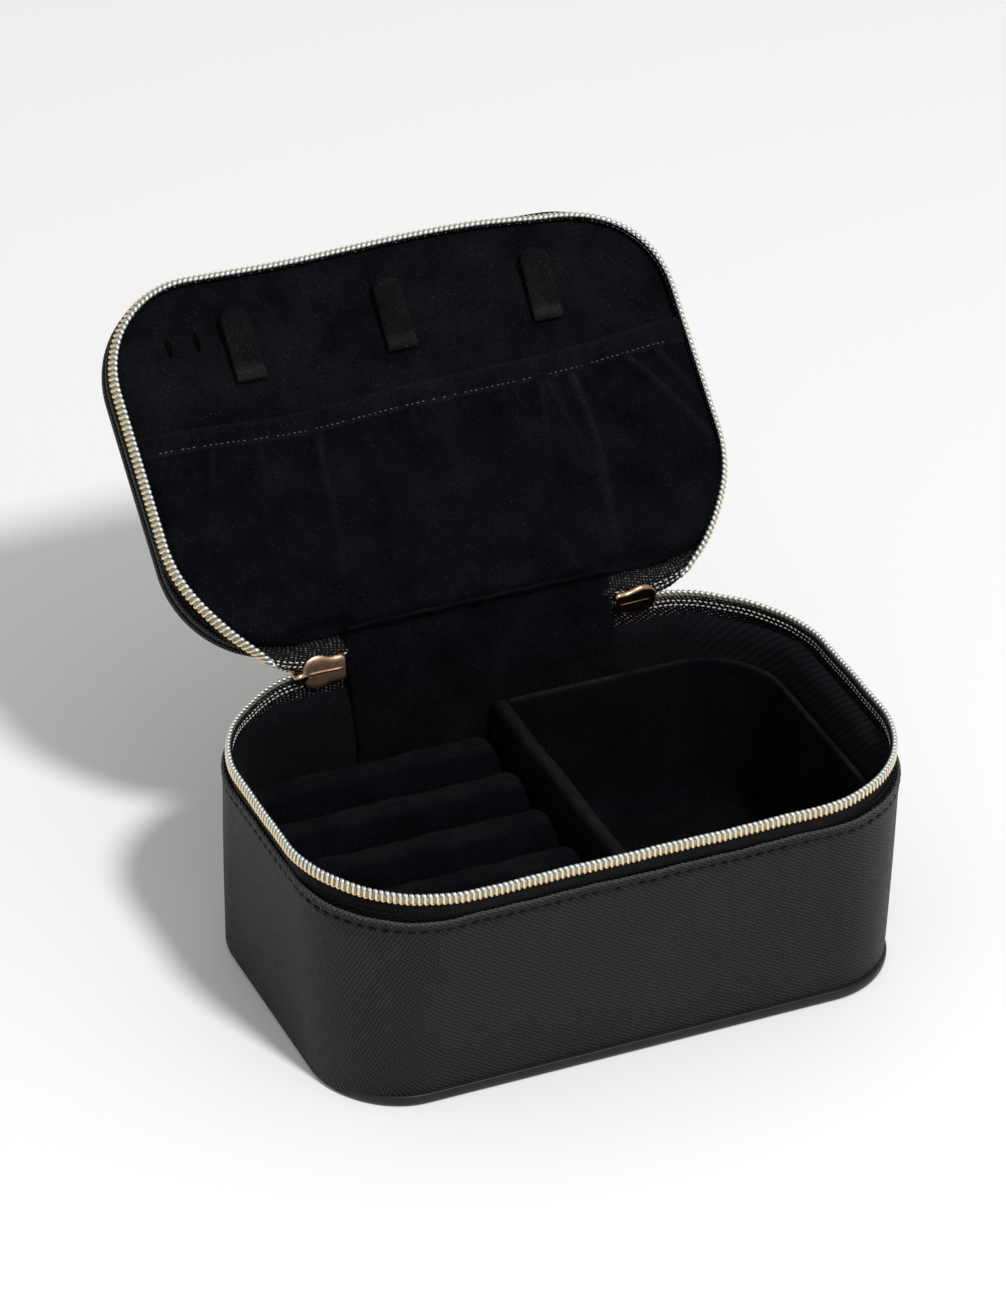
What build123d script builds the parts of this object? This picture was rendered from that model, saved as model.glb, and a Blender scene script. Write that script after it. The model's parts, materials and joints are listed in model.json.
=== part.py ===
from build123d import *
import os

os.makedirs("parts", exist_ok=True)

# Millimetres. Origin: centre of the base underside. X across the front, +Y to the hinge, +Z up.
# The parts are placed with the lid open.

# Base shell: the wall flares slightly from the bottom panel to the rim
BASE_X0, BASE_Y0, BASE_R0 = 77.2, 47.5, 22.0
BASE_X1, BASE_Y1, BASE_R1 = 79.8, 50.1, 30.0
PANEL_H = 3.2
RIM_Z = 55.6
COVER_T = 0.9
BOARD_T = 1.6
LINING_T = 1.0
LIP = 0.6
HEM_H = 2.4
HEM_T = 0.45

# Zipper
TAPE_T = 0.6
TAPE_Z = 61.0
COIL_Z0, COIL_Z1 = 59.9, 63.0
COIL_T = 1.6
COIL_R = 34.0
ZIP_END_X = 49.0

# Lid shell, drawn closed and then opened
LID_X, LID_Y, LID_R = 76.2, 49.8, 27.0
LID_EDGE_Z = 71.0
LID_SEAM_Z = 74.0
LID_TOP_Z = 77.3
LID_TAPE_Z = 65.6
LID_COIL_Z0, LID_COIL_Z1 = 64.0, 66.8
LID_FLARE = 0.7
LID_COIL_SHIFT = (0.4, 2.0)
HINGE_Y, HINGE_Z = 51.4, 69.2
OPEN_ANGLE = 139.0

# Padded panel inside the lid
PAD_X, PAD_Y, PAD_R = 73.2, 46.8, 24.0
PAD_FACE_Z = 67.5
PAD_ROUND = 2.5
PAD_BULGE = 1.1
HOOK_X = (-40.5, 0.8, 41.5)
HOOK_W = 8.6
HOOK_Y0, HOOK_Y1 = -40.0, -19.0
BAND_Y0, BAND_Y1 = -10.4, -4.4
POCKET_X = 72.0
SLIT_X = (-58.5, -51.0)

# Ring rolls and compartment
WELL_X, WELL_Y, WELL_R = 73.5, 43.9, 18.5
FLOOR_Z = 4.9
ROLL_COUNT = 5
ROLL_PITCH = 17.3
ROLL_W = 16.9
ROLL_TOP = 41.4
ROLL_END_X = -3.1
ROLL_SKIN = 0.9
DIVIDER_X0, DIVIDER_X1 = 0.7, 5.1
LINER_TOP = 47.0
LINER_X, LINER_Y, LINER_R = 73.2, 43.2, 21.0
LINER_T = 1.4

# Hinge flap
FLAP_X0, FLAP_X1 = -37.0, 36.0

# Zipper sliders
SLIDER_X = 43.0
SLIDER_Z = 63.4
SLIDER_L = 11.0
SLIDER_NOSE, SLIDER_TAIL = 8.4, 6.6
INNER_PLATE_Y = (47.2, 48.2)
OUTER_PLATE_Y = (51.0, 52.0)
PIVOT_Y, PIVOT_Z = 54.0, 62.6
PIVOT_D = 1.4
EYE_D, EYE_HOLE_D, EYE_W = 3.2, 1.5, 3.2
PULLER_T, PULLER_W, PULLER_L = 1.1, 6.4, 20.0


def save(shape, name):
    export_step(shape, "parts/" + name + ".step")


def outline(half_x, half_y, radius, z, x=0, y=0):
    sketch = RectangleRounded(2 * half_x, 2 * half_y, radius)
    return (Pos(x, y, z) * sketch).faces()[0].outer_wire()


def frustum(low, high):
    return Solid.make_loft([outline(*low), outline(*high)], True)


def prism(half_x, half_y, radius, z0, z1):
    return Pos(0, 0, z0) * extrude(RectangleRounded(2 * half_x, 2 * half_y, radius), z1 - z0)


def block(x0, x1, y0, y1, z0, z1):
    size = (x1 - x0, y1 - y0, z1 - z0)
    return Pos(x0, y0, z0) * Box(*size, align=(Align.MIN, Align.MIN, Align.MIN))


def rod_x(x0, x1, y, z, diameter):
    return Pos((x0 + x1) / 2, y, z) * Rot(0, 90, 0) * Cylinder(diameter / 2, x1 - x0)


def strip_x(points, x0, x1):
    face = make_face(Polyline(*[(x0, y, z) for y, z in points], close=True))
    return extrude(face, x1 - x0, dir=(1, 0, 0))


def opened(shape):
    return shape.rotate(Axis((0, HINGE_Y, HINGE_Z), (1, 0, 0)), -OPEN_ANGLE)


# ---------------------------------------------------------------- base shell

def base_outline(z, offset):
    k = z / RIM_Z
    half_x = BASE_X0 + (BASE_X1 - BASE_X0) * k + offset
    half_y = BASE_Y0 + (BASE_Y1 - BASE_Y0) * k + offset
    return half_x, half_y, BASE_R0 + (BASE_R1 - BASE_R0) * k + offset, z


def base_solid(z0, z1, offset):
    return frustum(base_outline(z0, offset), base_outline(z1, offset))


def base_band(z0, z1, outer, inner):
    return base_solid(z0, z1, outer) - base_solid(z0, z1, inner)


def base_bottom_cover():
    tray = prism(BASE_X0 + LIP, BASE_Y0 + LIP, BASE_R0 + LIP, 0, PANEL_H)
    tray = fillet(tray.edges().group_by(Axis.Z)[0], 0.8)
    inner = LIP - COVER_T
    return tray - prism(BASE_X0 + inner, BASE_Y0 + inner, BASE_R0 + inner, COVER_T, PANEL_H)


def base_bottom_board():
    inner = LIP - COVER_T
    return prism(BASE_X0 + inner, BASE_Y0 + inner, BASE_R0 + inner, COVER_T, PANEL_H)


def flap_gap(z0, z1, x0, x1):
    return block(x0, x1, 30, 70, z0, z1)


def base_zipper_tape():
    low = (BASE_X1 - 1.2, BASE_Y1 - 1.2, BASE_R1 - 1.2, RIM_Z - 0.9)
    high = (BASE_X1 - 0.1, BASE_Y1 - 0.1, COIL_R, TAPE_Z)
    low_in = (low[0] - TAPE_T, low[1] - TAPE_T, low[2] - TAPE_T, low[3])
    high_in = (high[0] - TAPE_T, high[1] - TAPE_T, high[2] - TAPE_T, high[3])
    tape = frustum(low, high) - frustum(low_in, high_in)
    return tape - flap_gap(50, 70, -ZIP_END_X, ZIP_END_X)


def base_zipper_coil():
    outer = prism(BASE_X1 + COIL_T, BASE_Y1 + COIL_T, COIL_R + COIL_T, COIL_Z0, COIL_Z1)
    coil = outer - prism(BASE_X1, BASE_Y1, COIL_R, COIL_Z0, COIL_Z1)
    coil = fillet(coil.edges().group_by(Axis.Z)[-1], 0.5)
    return coil - flap_gap(50, 70, -ZIP_END_X, ZIP_END_X)


# ---------------------------------------------------------------- insert

def roll_profile(center, width, top):
    radius = width / 2
    arch = Pos(center, top - radius) * Circle(radius)
    body = Pos(center, (FLOOR_Z + top - radius) / 2) * Rectangle(width, top - radius - FLOOR_Z)
    return arch + body


def roll_solid(center, width, top, x_end, inset):
    bar = extrude(Plane.YZ * roll_profile(center, width, top), 90, both=True)
    room = prism(WELL_X - inset, WELL_Y - inset, WELL_R - inset, FLOOR_Z, 60)
    return (bar & room) & block(-90, x_end, -60, 60, FLOOR_Z, 60)


def ring_roll(center):
    return roll_solid(center, ROLL_W, ROLL_TOP, ROLL_END_X, 0) - roll_core(center)


def roll_core(center):
    skin = ROLL_SKIN
    return roll_solid(center, ROLL_W - 2 * skin, ROLL_TOP - skin, ROLL_END_X - skin, skin)


def divider(inset):
    wall = block(DIVIDER_X0 + inset, DIVIDER_X1 - inset, inset - LINER_Y, LINER_Y - inset,
                 FLOOR_Z, LINER_TOP - inset)
    return fillet(wall.edges().filter_by(Axis.Y).group_by(Axis.Z)[-1], 1.6 - inset)


def compartment_room(offset, z0, z1):
    room = prism(LINER_X + offset, LINER_Y + offset, LINER_R + offset, z0, z1)
    return room & block(DIVIDER_X1 + 0.02, 90, -60, 60, z0, z1)


def compartment_liner():
    return compartment_room(0, FLOOR_Z, LINER_TOP) - compartment_room(-LINER_T, FLOOR_Z, LINER_TOP)


# ---------------------------------------------------------------- lid, drawn closed

def lid_prism(offset, z0, z1):
    return prism(LID_X + offset, LID_Y + offset, LID_R + offset, z0, z1)


def lid_ring(outer, inner, z0, z1):
    return lid_prism(outer, z0, z1) - lid_prism(inner, z0, z1)


def lid_top_cover():
    cover = lid_prism(LIP - 0.1, LID_SEAM_Z + 0.3, LID_TOP_Z)
    cover = fillet(cover.edges().group_by(Axis.Z)[-1], 1.4)
    return cover - lid_prism(-0.4, LID_SEAM_Z + 0.3, LID_TOP_Z - COVER_T)


def lid_zipper_tape():
    high = (LID_X - 1.2, LID_Y - 1.2, LID_R - 1.2, LID_EDGE_Z + 0.1)
    flare = LID_FLARE - 0.1
    low = (LID_X + flare, LID_Y + flare, LID_R + LID_FLARE, LID_TAPE_Z, *LID_COIL_SHIFT)
    high_in = (high[0] - TAPE_T, high[1] - TAPE_T, high[2] - TAPE_T, high[3])
    low_in = (low[0] - TAPE_T, low[1] - TAPE_T, low[2] - TAPE_T, *low[3:])
    tape = frustum(low, high) - frustum(low_in, high_in)
    return tape - flap_gap(60, 80, -ZIP_END_X - 1, ZIP_END_X + 1)


def lid_zipper_coil():
    coil = lid_ring(LID_FLARE + COIL_T, LID_FLARE, LID_COIL_Z0, LID_COIL_Z1)
    coil = Pos(*LID_COIL_SHIFT) * fillet(coil.edges().group_by(Axis.Z)[0], 0.5)
    return coil - flap_gap(60, 80, -ZIP_END_X - 1, ZIP_END_X + 1)


def pad_core():
    inset = LINING_T
    return prism(PAD_X - inset, PAD_Y - inset, PAD_R - inset, PAD_FACE_Z + inset, LID_SEAM_Z + 0.4)


def panel_cover():
    wide = (PAD_X + PAD_BULGE, PAD_Y + PAD_BULGE, PAD_R + PAD_BULGE)
    pillow = prism(*wide, PAD_FACE_Z, LID_EDGE_Z)
    pillow = fillet(pillow.edges().group_by(Axis.Z)[0], PAD_ROUND)
    panel = pillow + prism(PAD_X, PAD_Y, PAD_R, LID_EDGE_Z, LID_SEAM_Z + 0.4) - pad_core()
    for x in SLIT_X:
        panel -= block(x - 0.4, x + 0.4, -36.6, -31.4, PAD_FACE_Z - 1, PAD_FACE_Z + 0.8)
    return panel


def necklace_hook(x):
    face = PAD_FACE_Z
    points = [
        (HOOK_Y1, face - 0.05),
        (HOOK_Y1, face - 1.7),
        (HOOK_Y1 - 4, face - 2.0),
        (HOOK_Y0, face - 3.8),
        (HOOK_Y0, face - 2.3),
        (HOOK_Y1 - 4, face - 0.5),
        (HOOK_Y1 - 3, face - 0.05),
    ]
    tab = strip_x(points, x - HOOK_W / 2, x + HOOK_W / 2)
    plan = Pos(x, HOOK_Y0 + HOOK_W / 2) * Circle(HOOK_W / 2)
    plan += Pos(x, (HOOK_Y0 + HOOK_W / 2 + HOOK_Y1) / 2) * Rectangle(
        HOOK_W, HOOK_Y1 - HOOK_Y0 - HOOK_W / 2)
    return tab & (Pos(0, 0, face - 6) * extrude(plan, 8))


def pocket_panel():
    room = prism(POCKET_X, PAD_Y - 1.2, PAD_R - 1.2, PAD_FACE_Z - 1.3, PAD_FACE_Z - 0.3)
    return room & block(-90, 90, BAND_Y1 + 0.05, 60, 60, 70)


def pocket_band():
    band = block(-POCKET_X, POCKET_X, BAND_Y0, BAND_Y1, PAD_FACE_Z - 1.9, PAD_FACE_Z - 0.3)
    return fillet(band.edges().filter_by(Axis.X), 0.5) - pocket_elastic()


def pocket_elastic():
    return block(-POCKET_X + 1, POCKET_X - 1, BAND_Y0 + 0.8, BAND_Y1 - 0.8,
                 PAD_FACE_Z - 1.4, PAD_FACE_Z - 0.8)


# ---------------------------------------------------------------- hinge flap, drawn open

def hinge_flap_cover():
    points = [(48.3, 54.8), (48.5, 59.9), (52.3, 67.9), (53.0, 67.5), (49.3, 59.7), (49.1, 54.8)]
    return strip_x(points, FLAP_X0, FLAP_X1)


def hinge_flap_lining():
    points = [(44.5, 34.0), (45.5, 54.9), (46.8, 59.5), (50.6, 71.4), (51.4, 72.3),
              (52.0, 71.5), (51.5, 70.9), (47.8, 59.3), (46.45, 54.7), (45.45, 34.0)]
    return strip_x(points, FLAP_X0, FLAP_X1)


def zip_tail(side):
    return block(*sorted((side * 37.2, side * 45.2)), 48.9, 50.3, RIM_Z + 0.1, 66.6)


# ---------------------------------------------------------------- sliders and pullers

def slider_plate(side, y0, y1):
    tail_x = -SLIDER_L / 2
    nose_x = SLIDER_L / 2
    tail_h, nose_h = SLIDER_TAIL / 2, SLIDER_NOSE / 2
    plan = [(tail_x, -tail_h), (0, -tail_h), (nose_x - 2.6, -nose_h), (nose_x, -1.6)]
    plan += [(nose_x, 1.6), (nose_x - 2.6, nose_h), (0, tail_h), (tail_x, tail_h)]
    points = [(side * (SLIDER_X + x), y0, SLIDER_Z + z) for x, z in plan]
    plate = extrude(make_face(Polyline(*points, close=True)), y1 - y0, dir=(0, 1, 0))
    return fillet(plate.edges().filter_by(Axis.Y), 0.8)


def slider(side):
    center = side * SLIDER_X
    body = slider_plate(side, *INNER_PLATE_Y) + slider_plate(side, *OUTER_PLATE_Y)
    post_x = sorted((side * (SLIDER_X + 2.9), side * (SLIDER_X + 5.2)))
    body += block(*post_x, INNER_PLATE_Y[1], OUTER_PLATE_Y[0], SLIDER_Z - 1.0, SLIDER_Z + 1.0)
    for leg in (-1, 1):
        x = center + leg * (EYE_W / 2 + 0.9)
        body += block(x - 0.6, x + 0.6, OUTER_PLATE_Y[1], PIVOT_Y + 0.9,
                      PIVOT_Z - 0.9, PIVOT_Z + 0.9)
    reach = EYE_W / 2 + 0.9
    return body + rod_x(center - reach, center + reach, PIVOT_Y, PIVOT_Z, PIVOT_D)


def puller(side):
    center = side * SLIDER_X
    body = rod_x(center - EYE_W / 2, center + EYE_W / 2, PIVOT_Y, PIVOT_Z, EYE_D)
    low = PIVOT_Z - PULLER_L
    plan = [(-EYE_W / 2, PIVOT_Z), (-EYE_W / 2, PIVOT_Z - 4), (-PULLER_W / 2, low + 5)]
    plan += [(-PULLER_W / 2, low), (PULLER_W / 2, low), (PULLER_W / 2, low + 5)]
    plan += [(EYE_W / 2, PIVOT_Z - 4), (EYE_W / 2, PIVOT_Z)]
    points = [(center + x, PIVOT_Y - PULLER_T / 2, z) for x, z in plan]
    tab = extrude(make_face(Polyline(*points, close=True)), PULLER_T, dir=(0, 1, 0))
    tab = fillet(tab.edges().filter_by(Axis.Y).group_by(Axis.Z)[0], 2.6)
    body += tab
    return body - rod_x(center - 5, center + 5, PIVOT_Y, PIVOT_Z, EYE_HOLE_D)


# ---------------------------------------------------------------- export

inner_skin = -COVER_T - BOARD_T
well_skin = inner_skin - LINING_T
save(base_bottom_cover(), "base_bottom_cover")
save(base_bottom_board(), "base_bottom_board")
save(base_band(PANEL_H + 0.02, PANEL_H + 0.38, -0.2, -COVER_T), "base_seam_piping")
save(base_band(PANEL_H + 0.4, RIM_Z, 0, -COVER_T), "base_side_cover")
save(base_band(RIM_Z - HEM_H, RIM_Z, HEM_T, 0), "base_rim_hem")
save(base_band(PANEL_H + 0.02, RIM_Z - 1.0, -COVER_T, inner_skin), "base_wall_board")
save(base_band(PANEL_H + 0.02, RIM_Z - 1.0, inner_skin, well_skin), "base_wall_lining")
save(base_solid(PANEL_H + 0.02, FLOOR_Z - 0.3, well_skin), "base_floor_lining")
save(base_zipper_tape(), "base_zipper_tape")
save(base_zipper_coil(), "base_zipper_coil")

centers = [(i - (ROLL_COUNT - 1) / 2) * ROLL_PITCH for i in range(ROLL_COUNT)]
for number, center in enumerate(centers, 1):
    save(ring_roll(center), f"ring_roll_{number}")
save(Compound(children=[roll_core(center).solids()[0] for center in centers]), "ring_roll_foams")
save(divider(0) - divider(1.2), "divider_cover")
save(divider(1.2), "divider_board")
save(compartment_liner(), "compartment_liner")
save(compartment_room(-LINER_T, FLOOR_Z, FLOOR_Z + 1.2), "compartment_floor")

save(opened(lid_ring(0, -COVER_T, LID_EDGE_Z, LID_SEAM_Z)), "lid_side_cover")
save(opened(lid_ring(0.4, 0, LID_EDGE_Z, LID_EDGE_Z + 1.6)), "lid_rim_hem")
save(opened(lid_ring(-0.2, -COVER_T, LID_SEAM_Z + 0.01, LID_SEAM_Z + 0.29)), "lid_seam_piping")
save(opened(lid_ring(-COVER_T, inner_skin, LID_EDGE_Z + 0.2, LID_SEAM_Z + 0.4)), "lid_wall_board")
save(opened(lid_prism(-0.4, LID_SEAM_Z + 0.5, LID_TOP_Z - COVER_T)), "lid_top_board")
save(opened(lid_top_cover()), "lid_top_cover")
save(opened(lid_zipper_tape()), "lid_zipper_tape")
save(opened(lid_zipper_coil()), "lid_zipper_coil")
save(opened(pad_core()), "lid_pad_foam")
save(opened(panel_cover()), "lid_panel_cover")
for number, x in enumerate(HOOK_X, 1):
    save(opened(necklace_hook(x)), f"necklace_hook_{number}")
save(opened(pocket_panel()), "pocket_panel")
save(opened(pocket_band()), "pocket_band")
save(opened(pocket_elastic()), "pocket_elastic")

save(hinge_flap_cover(), "hinge_flap_cover")
save(hinge_flap_lining(), "hinge_flap_lining")
for side, name in ((-1, "left"), (1, "right")):
    save(zip_tail(side), "zip_tail_" + name)
    save(slider(side), "slider_" + name)
    save(puller(side), "puller_" + name)
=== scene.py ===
import json
import math

import bmesh
import bpy
import numpy as np
from mathutils import Matrix, Vector


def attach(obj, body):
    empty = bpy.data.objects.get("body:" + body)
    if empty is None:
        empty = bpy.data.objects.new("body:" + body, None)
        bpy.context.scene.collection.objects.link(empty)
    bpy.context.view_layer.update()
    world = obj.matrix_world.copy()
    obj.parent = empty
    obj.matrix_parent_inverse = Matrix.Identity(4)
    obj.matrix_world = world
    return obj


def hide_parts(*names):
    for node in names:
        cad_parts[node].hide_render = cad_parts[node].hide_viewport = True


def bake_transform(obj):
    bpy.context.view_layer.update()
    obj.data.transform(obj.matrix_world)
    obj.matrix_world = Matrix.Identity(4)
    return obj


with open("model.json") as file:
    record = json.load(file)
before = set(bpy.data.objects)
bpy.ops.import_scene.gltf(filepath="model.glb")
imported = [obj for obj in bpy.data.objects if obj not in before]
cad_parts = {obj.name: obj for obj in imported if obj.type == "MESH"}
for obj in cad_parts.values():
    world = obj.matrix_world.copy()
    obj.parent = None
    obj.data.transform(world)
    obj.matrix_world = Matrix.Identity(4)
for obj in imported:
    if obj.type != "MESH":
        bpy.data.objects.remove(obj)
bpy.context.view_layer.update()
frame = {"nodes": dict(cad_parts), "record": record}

# A zipped jewelry case. Shapes are worked out in millimetres and scaled to metres when a mesh is made.
MM = 0.001
BEHAVIOUR = frame["record"]["behaviour"]
HINGE = next(joint for joint in BEHAVIOUR["joints"] if joint["name"] == "lid_hinge")
HINGE_Y, HINGE_Z = HINGE["pos_m"][1] / MM, HINGE["pos_m"][2] / MM
OPEN_ANGLE = HINGE["range_deg"][1]
random = np.random.default_rng(11)
X_AXIS = np.array([1.0, 0, 0])


# ---- places from the CAD

def turned(points, degrees):
    """Points turned about the lid's hinge."""
    a = math.radians(degrees)
    out = np.array(points, float)
    y, z = out[..., 1] - HINGE_Y, out[..., 2] - HINGE_Z
    out[..., 1] = HINGE_Y + y * math.cos(a) - z * math.sin(a)
    out[..., 2] = HINGE_Z + y * math.sin(a) + z * math.cos(a)
    return out


def opened(points):
    return turned(points, -OPEN_ANGLE)


def node_box(node, closed=False):
    """Lowest and highest corner of a CAD node in mm; closed gives a lid node's box with the lid shut."""
    data = frame["nodes"][node].data
    co = np.array([v.co for v in data.vertices]) / MM
    if closed:
        co = turned(co, OPEN_ANGLE)
    return co.min(0), co.max(0)


FOOT_HIGH = node_box("base_bottom_cover")[1]
WALL_HIGH = node_box("base_side_cover")[1]
LID_LOW, LID_HIGH = node_box("lid_side_cover", closed=True)
PANEL_LOW, PANEL_HIGH = node_box("lid_panel_cover", closed=True)

LIP = 0.6  # the bottom panel's overhang past the wall
RIM_Z = WALL_HIGH[2]
RIM_X, RIM_Y, RIM_R = WALL_HIGH[0], WALL_HIGH[1], 30.0
FOOT_X, FOOT_Y, FOOT_R = FOOT_HIGH[0] - LIP, FOOT_HIGH[1] - LIP, 22.0
PANEL_H = FOOT_HIGH[2]
FLOOR_Z = node_box("ring_roll_1")[0][2]
LID_X, LID_Y, LID_R = LID_HIGH[0], LID_HIGH[1], 27.0
LID_EDGE_Z, LID_SEAM_Z = LID_LOW[2], LID_HIGH[2]
LID_TOP_Z = node_box("lid_top_cover", closed=True)[1][2]


# ---- mesh helpers

def unit(v):
    return v / np.maximum(np.linalg.norm(v, axis=-1, keepdims=True), 1e-9)


def quarter_round(inside):
    """1 at an edge and 0 from one radius inward, along a quarter circle."""
    return 1 - np.sqrt(np.clip(1 - (1 - inside) ** 2, 0, 1))


def smoothstep(x):
    x = np.clip(x, 0, 1)
    return x * x * (3 - 2 * x)


def xyz(*parts):
    """Points, or vectors, from their coordinates."""
    return np.stack(np.broadcast_arrays(*parts), -1)


def along_path(places, s, path):
    """Points of a path at given distances; s holds the distance at each of its own points."""
    return np.stack([np.interp(places, s, path[:, k]) for k in range(path.shape[1])], -1)


def run_length(points):
    steps = np.linalg.norm(np.diff(points, axis=0), axis=1)
    return np.concatenate([[0], np.cumsum(steps)])


def finish_mesh(name, points, faces, loop_uv, material):
    mesh = bpy.data.meshes.new(name)
    mesh.from_pydata((np.asarray(points) * MM).tolist(), [], faces)
    if loop_uv is not None:
        layer = mesh.uv_layers.new(name="UVMap")
        layer.data.foreach_set("uv", np.asarray(loop_uv, np.float32).ravel())
    mesh.polygons.foreach_set("use_smooth", [True] * len(mesh.polygons))
    mesh.materials.append(material)
    work = bmesh.new()
    work.from_mesh(mesh)
    bmesh.ops.recalc_face_normals(work, faces=work.faces)
    work.to_mesh(mesh)
    work.free()
    obj = bpy.data.objects.new(name, mesh)
    bpy.context.scene.collection.objects.link(obj)
    return obj


def grid(name, points, material, wrap_u=False, wrap_v=False, caps=False, plan=None):
    """A skin over rows of points, with a UV map in mm along both directions, or from plan's x and y."""
    nu, nv = points.shape[:2]
    mid = points[:, nv // 2]
    along = run_length(np.vstack([mid, mid[:1]]) if wrap_u else mid)
    side = points[nu // 2]
    across = run_length(np.vstack([side, side[:1]]) if wrap_v else side)
    i = np.arange(nu if wrap_u else nu - 1)[:, None]
    j = np.arange(nv if wrap_v else nv - 1)[None, :]
    i2, j2 = (i + 1) % nu, (j + 1) % nv
    quads = np.stack([i * nv + j, i2 * nv + j, i2 * nv + j2, i * nv + j2], -1).reshape(-1, 4)
    u = np.stack([along[i], along[i + 1], along[i + 1], along[i]], -1) + 0 * j[..., None]
    v = np.stack([across[j], across[j], across[j + 1], across[j + 1]], -1) + 0 * i[..., None]
    uv = np.stack([u, v], -1).reshape(-1, 2)
    if plan is not None:
        uv = plan.reshape(-1, 3)[quads.ravel(), :2]
    faces = quads.tolist()
    if caps:
        ends = ([0, nu - 1] if wrap_v else [0, nv - 1])
        for e in ends:
            ring = [e * nv + k for k in range(nv)] if wrap_v else [k * nv + e for k in range(nu)]
            flat = points[e] if wrap_v else points[:, e]
            faces.append(ring)
            uv = np.vstack([uv, flat[:, :2]])
    return finish_mesh(name, points.reshape(-1, 3), faces, uv, material)


def many(name, centres, axes_a, axes_b, axes_c, material, slot, rings=4, sides=6):
    """One mesh of small rounded pellets, each centred on a point and scaled by three half axes."""
    lat = np.linspace(-math.pi / 2, math.pi / 2, rings + 2)[1:-1]
    lon = np.linspace(0, 2 * math.pi, sides, endpoint=False)
    unit_points = [(-1.0, 0.0, 0.0)]
    unit_points += [(math.sin(a), math.cos(a) * math.cos(b), math.cos(a) * math.sin(b))
                    for a in lat for b in lon]
    unit_points += [(1.0, 0.0, 0.0)]
    shape = np.array(unit_points)
    faces = [(0, 1 + (k + 1) % sides, 1 + k) for k in range(sides)]
    for r in range(rings - 1):
        for k in range(sides):
            low, k2 = 1 + r * sides, (k + 1) % sides
            faces.append((low + k, low + k2, low + sides + k2, low + sides + k))
    last = 1 + (rings - 1) * sides
    faces += [(len(shape) - 1, last + k, last + (k + 1) % sides) for k in range(sides)]
    points = (centres[:, None] + shape[None, :, 0:1] * axes_a[:, None]
              + shape[None, :, 1:2] * axes_b[:, None] + shape[None, :, 2:3] * axes_c[:, None])
    every = [tuple(v + n * len(shape) for v in f) for n in range(len(centres)) for f in faces]
    return finish_mesh(name, points.reshape(-1, 3), every, None, material)


def tube(name, path, radius, material, sides=8, reference=None, squash=1.0):
    """A round wire along a path; radius may change along it, and squash widens it along the reference."""
    tangent = unit(np.gradient(path, axis=0))
    ref = np.array([0, 0, 1.0]) if reference is None else reference
    first = unit(np.cross(tangent, ref))
    second = unit(np.cross(tangent, first))
    radius = np.broadcast_to(radius, len(path))[:, None, None]
    wide = np.broadcast_to(squash, len(path))[:, None, None]
    a = np.linspace(0, 2 * math.pi, sides, endpoint=False)[None, :, None]
    ring = path[:, None] + radius * (np.cos(a) * first[:, None] + wide * np.sin(a) * second[:, None])
    return grid(name, ring, material, wrap_v=True, caps=True)


def paint(obj, name, values):
    """Gives each point of a mesh a number that its material reads."""
    layer = obj.data.attributes.new(name, "FLOAT", "POINT")
    layer.data.foreach_set("value", np.asarray(values, np.float32).ravel())


def loop_shape(long_steps, short_steps, arc_steps):
    """A loop round a rounded rectangle from the middle of its back by the left, front and right sides.
    Each point is a share of the way to its corner's centre, plus the radius along its normal."""
    corners = [(-1, 1), (-1, -1), (1, -1), (1, 1)]
    starts = [(0, 1)] + corners[:3]
    counts = [long_steps // 2, short_steps, long_steps, short_steps, long_steps // 2]
    parts = []
    for k, (start, corner) in enumerate(zip(starts + [(1, 1)], corners + [(0, 1)])):
        t = np.arange(counts[k]) / counts[k]
        angle = math.pi / 2 * (k + 1)
        parts.append(xyz(start[0] + (corner[0] - start[0]) * t, start[1] + (corner[1] - start[1]) * t,
                         math.cos(angle), math.sin(angle)))
        if k < 4:
            arc = angle + math.pi / 2 * np.arange(arc_steps) / arc_steps
            parts.append(xyz(*corner, np.cos(arc), np.sin(arc)))
    return np.vstack(parts).T


LOOP = loop_shape(56, 30, 22)
FINE_LOOP = loop_shape(360, 200, 220)


def around(half_x, half_y, radius, z, loop=LOOP):
    sx, sy, nx, ny = loop
    x = sx * (half_x - radius) + nx * radius
    y = sy * (half_y - radius) + ny * radius
    return xyz(x, y, z)


def soft_loop(low, high, radii, z):
    """A rounded rectangle from low to high whose left-back, left-front, right-front and right-back
    corners have their own radii."""
    sx, sy, nx, ny = FINE_LOOP
    left, back = (sx < 0) | (nx < -0.5), (sy > 0) | (ny > 0.5)
    r = np.where(left, np.where(back, radii[0], radii[1]), np.where(back, radii[3], radii[2]))
    middle, half = (low + high) / 2, (high - low) / 2
    x = middle[0] + sx * (half[0] - r) + nx * r
    y = middle[1] + sy * (half[1] - r) + ny * r
    return xyz(x, y, z)


def wall_row(z, offset, loop=LOOP):
    k = z / RIM_Z
    x, y, r = FOOT_X + (RIM_X - FOOT_X) * k, FOOT_Y + (RIM_Y - FOOT_Y) * k, FOOT_R + (RIM_R - FOOT_R) * k
    return around(x + offset, y + offset, r + offset, z, loop)


# Where the zipper bows along the lid's front edge: middle, width and depth.
FRONT_BOWS = ((54, 19, 2.45), (-24, 22, 0.8))


def front_bow(curve):
    """How far the lid's zipper bows inward along its front edge, most of all before the right corner."""
    x, y = curve[..., 0], curve[..., 1]
    bow = sum(depth * np.exp(-((x - middle) / width) ** 2) for middle, width, depth in FRONT_BOWS)
    return smoothstep((-y - 25) / 20) * bow


def lid_row(z, offset, loop=LOOP, follow=0.42):
    """The lid's outline; follow is the share of the zipper's bow that it takes on."""
    curve = around(LID_X + offset, LID_Y + offset, LID_R + offset, z, loop)
    curve[:, 1] += follow * front_bow(curve)
    return curve


# ---- materials

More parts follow.
